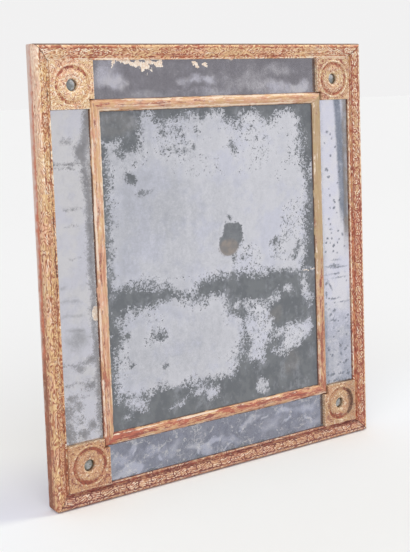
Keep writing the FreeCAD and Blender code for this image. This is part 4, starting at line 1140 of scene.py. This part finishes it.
def right_shape(x, z):
    rng = np.random.default_rng(98)
    ranges = ((250, 306), (0, 1), (0.7, 1.5))
    places = zip(*(rng.uniform(low, high, RIGHT_SPECKS) for low, high in ranges))
    specks = [(cx, 106 + 480 * height**1.5, size, size) for cx, height, size in places]
    gone = np.maximum(deepest(x, z, RIGHT_SPOTS, 0.5, 0.45), deepest(x, z, specks)) * 2.8
    # painted reflections: a dark blue-grey band in the upper part, and an olive strip along the right edge
    # that reflects the moulding
    band = smooth(13, 4, np.abs(x - along(z, RIGHT_REFLECTION_BAND))) * smooth(390, 450, z)
    reflected_olive = smooth(297, 304, x + 5 * (noise(x, z, 30, 96) - 0.5)) * smooth(340, 420, z)
    tone = 0.06 + 0.72 * band + 0.25 * smooth(258, 246, x) + 0.5 * reflected_olive + 0.42 * smooth(330, 160, z)
    tone += 0.25 * smooth(140, 104, z) * noise(x, z, 16, 97)
    return {"loss": np.clip(0.5 + gone / 28, 0.1, 1), "tone": tone, "brown": 0.75 * reflected_olive,
            "dust": 0.2 + 0.5 * smooth(200, 110, z)}


# Bottom plate: clouds with the amount first, and thin curved marks
BOTTOM_CLOUDS = [
    (0.35, -210, 58, 24, 12, 10), (0.75, -196, 34, 34, 14, 15), (0.7, -216, 28, 12, 8),
    (0.5, -182, 40, 10, 14), (0.35, -150, 62, 26, 8, 10), (0.5, -188, 74, 10, 8),
    (0.3, -110, 58, 30, 10, 20), (0.4, -62, 50, 22, 8), (0.6, -18, 54, 26, 7, 15),
    (0.5, -38, 40, 14, 12, 60), (0.35, 20, 44, 30, 9, -20), (0.45, 60, 70, 30, 7, 10),
    (0.3, 108, 52, 26, 12, 20), (0.5, 140, 72, 26, 7, 10), (0.4, 190, 70, 30, 10),
    (0.3, 206, 40, 26, 10, 10),
]
BOTTOM_SQUIGGLES = [
    (-186, 66, 7, 3, 60), (-92, 26, 12, 2.5, 25), (-38, 52, 16, 2.5, 30), (-54, 40, 3, 12, 10),
    (-128, 50, 3, 10, 20), (-24, 62, 14, 2.2, 10), (40, 58, 12, 2.2, -30), (92, 66, 14, 2.2, 25),
    (150, 56, 14, 2.2, 15), (-205, 40, 12, 3, 30), (12, 34, 12, 2.2, 40), (196, 52, 12, 2.2, -20),
]


def bottom_shape(x, z):
    x, z = stirred(x, z, (22, 26, 65))
    wx, wz = stirred(x, z, (9, 9, 76))
    squiggles = [(0.7, *spot) for spot in BOTTOM_SQUIGGLES]
    tone = 0.74 - clouded(x, z, BOTTOM_CLOUDS, 0.8, 1.3, 1.3) - clouded(wx, wz, squiggles, 0.5)
    loss = 0.2 + 0.35 * np.maximum(smooth(34, 24, z), smooth(93, 97, z))
    return {"loss": loss, "tone": tone, "dust": 0.35}


# Plates: limits, shape, the light of pale silver, deep silver and two tones of lost silvering, then shift,
# wisps and blur
PLATES = {
    "centre": ((-233.35, 233.35, 100.65, 654.35), centre_shape, (0.655, 0.655, 0.705), (0.38, 0.39, 0.43),
               (0.114, 0.123, 0.135), (0.15, 0.16, 0.17), 0.2),
    "top": ((-235.3, 235.3, 656.35, 732.5), top_shape, (0.53, 0.515, 0.55), (0.184, 0.174, 0.197),
            (0.12, 0.12, 0.135), (0.16, 0.16, 0.18), 1.2),
    "bottom": ((-235.3, 235.3, 22.5, 98.65), bottom_shape, (0.47, 0.48, 0.55), (0.165, 0.175, 0.225),
               (0.13, 0.14, 0.15), (0.18, 0.19, 0.2), 2.2, 0.5, 0.1),
    "left": ((-317.5, -235.35, 104.7, 650.3), left_shape, (0.62, 0.61, 0.635), (0.33, 0.33, 0.35),
             (0.19, 0.185, 0.195), (0.24, 0.235, 0.245), 3.2, 0.0, 0.18),
    "right": ((235.35, 317.5, 104.7, 650.3), right_shape, (0.72, 0.71, 0.765), (0.16, 0.19, 0.25),
              (0.16, 0.17, 0.2), (0.22, 0.23, 0.26), 4.2, 0.0, 0.08),
}

for side in ("left", "right", "bottom", "top"):
    bar = "upright_bar" if side in ("left", "right") else "level_bar"
    build_bar("outer", side, OUTER_SECTION, OUTER_LIMITS, outer_shape, GILT[side], step=0.62, across=0.55)
    build_bar("inner", side, INNER_SECTION, INNER_LIMITS, inner_shape, GILT[bar], step=1.3, across=1.0)
for index, (end, flank) in enumerate(CORNERS):
    build_block(end, flank, 51 + index * 7, GILT["low_block" if end == "bottom" else "block"])
for name, (limits, shape, *look) in PLATES.items():
    node = "centre_mirror" if name == "centre" else f"border_mirror_{name}"
    build_plate(name, node, limits, shape, silvering(f"silvering_{name}", *look))


# Finishes of the pieces that keep their solid

def dress(nodes, material):
    """Gives the solids of these nodes their material."""
    for node in nodes:
        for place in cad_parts[node].material_slots:
            place.material = material


# Grain along the upright and the level pieces; paint of the frame's edge; early wood, late wood and dust
UPRIGHT = (1, 1, 0.08)
LEVEL = (0.08, 1, 1)
EDGE = [(212, 188, 174), (196, 114, 84), (142, 90, 66)]
PINE = [(176, 138, 96), (132, 96, 62), (98, 78, 60)]
BOARDS = [(158, 122, 84), (116, 84, 56), (84, 68, 54)]
OAK = [(142, 104, 66), (92, 62, 38), (70, 52, 38)]
IRON_NODES = ["corner_block_nails", "moulding_brads", "backboard_nails", "hanger_strap", "hanger_screws",
              "hanger_ring"]

dress(["left_stile", "right_stile"], timber("pine_upright", PINE, UPRIGHT, EDGE))
dress(["top_rail", "bottom_rail"], timber("pine_level", PINE, LEVEL, EDGE))
dress([f"backboard_{place}" for place in ("left", "middle", "right")], timber("pine_boards", BOARDS, UPRIGHT))
dress(["corner_pegs"], timber("peg_oak", OAK, (1, 0.2, 1)))
dress(IRON_NODES, forged("old_iron"))
dress([f"corner_mirror_{end}_{flank}" for end, flank in CORNERS], eye_silver("silvering_eyes"))


# Floor, air and light

def build_floor(half=150):
    """A wide pale floor, in metres, darker far behind the object, with painted light near it: lighter and
    cooler there, against the object's shade and warm bounce.
    """
    mesh = bpy.data.meshes.new("studio_floor")
    corners = [(-half, -half, 0), (half, -half, 0), (half, half, 0), (-half, half, 0)]
    mesh.from_pydata(corners, [], [(0, 1, 2, 3)])
    floor = bpy.data.objects.new("studio_floor", mesh)
    bpy.context.scene.collection.objects.link(floor)
    f = Finish("studio_paper")
    depth = f.axis(f.place, "Y")
    tint = f.mix(f.noise(900, 3, 0.5), (0.936, 0.924, 0.896), (0.928, 0.916, 0.888))
    tint = f.mix(depth.step(1.0, 5.0), tint, (0.914, 0.903, 0.877))
    # painted light: a lighter, cooler strip close to the object
    tint = f.mix(f.math("ABSOLUTE", depth).step(0.4, 0.02), tint, (0.952, 0.955, 0.948))
    mesh.materials.append(f.set(colour=tint, rough=0.9))


def light_air(ambient, strength, backdrop):
    """Even light from all round; what looks at it directly or in a reflection sees the pale backdrop."""
    world = bpy.data.worlds.new("studio_air")
    world.use_nodes = True
    nodes = Nodes(world.node_tree)
    soft = nodes.node("Background", {"Color": ambient, "Strength": strength})
    seen = nodes.node("Background", {"Color": backdrop})
    camera, glossy, through = (nodes.node("LightPath", {}, f"Is {kind} Ray")
                               for kind in ("Camera", "Glossy", "Transmission"))
    either = nodes.math("MAXIMUM", nodes.math("MAXIMUM", camera, glossy), through)
    nodes.link(nodes.node("MixShader", {0: either, 1: soft, 2: seen}),
               nodes.tree.nodes["World Output"].inputs["Surface"])
    bpy.context.scene.world = world


def sun_light(name, toward, strength, spread, colour):
    """Parallel soft light from one direction; spread is its width in degrees."""
    lamp = bpy.data.lights.new(name, "SUN")
    lamp.energy = strength
    lamp.angle = math.radians(spread)
    lamp.color = colour
    lamp_object = bpy.data.objects.new(name, lamp)
    lamp_object.location = Vector(toward) * 2
    lamp_object.rotation_euler = Vector(toward).to_track_quat("Z", "Y").to_euler()
    bpy.context.scene.collection.objects.link(lamp_object)


def place_camera(place, azimuth, elevation, roll, lens, shift):
    """The camera at a place in mm. azimuth turns it from +Y towards +X and elevation lifts it, in degrees."""
    az, el, turn = (math.radians(a) for a in (azimuth, elevation, roll))
    ahead = Vector((math.sin(az) * math.cos(el), math.cos(az) * math.cos(el), math.sin(el)))
    level = ahead.cross(Vector((0, 0, 1))).normalized()
    over = level.cross(ahead)
    right = level * math.cos(turn) + over * math.sin(turn)
    up = over * math.cos(turn) - level * math.sin(turn)
    data = bpy.data.cameras.new("camera")
    data.lens = lens
    data.sensor_width = 36
    data.shift_y = shift
    camera = bpy.data.objects.new("camera", data)
    turned = Matrix((right, up, -ahead)).transposed().to_4x4()
    camera.matrix_world = Matrix.Translation(Vector(place) * MM) @ turned
    scene.collection.objects.link(camera)
    scene.camera = camera


scene = bpy.context.scene
scene.view_settings.view_transform = "Standard"
build_floor()
light_air((0.85, 0.865, 1.0), 0.68, (0.884, 0.88, 0.882))
sun_light("soft_key", (0.75, -0.205, 0.62), 0.97, 19, (0.97, 1.0, 0.72))
sun_light("front_fill", (-0.45, -0.8, 0.65), 1.14, 60, (1.0, 0.985, 0.96))
place_camera((-1070.99, -1538.64, 660.2), 34.448, -5.947, -1.995, 69.515, -0.1196)
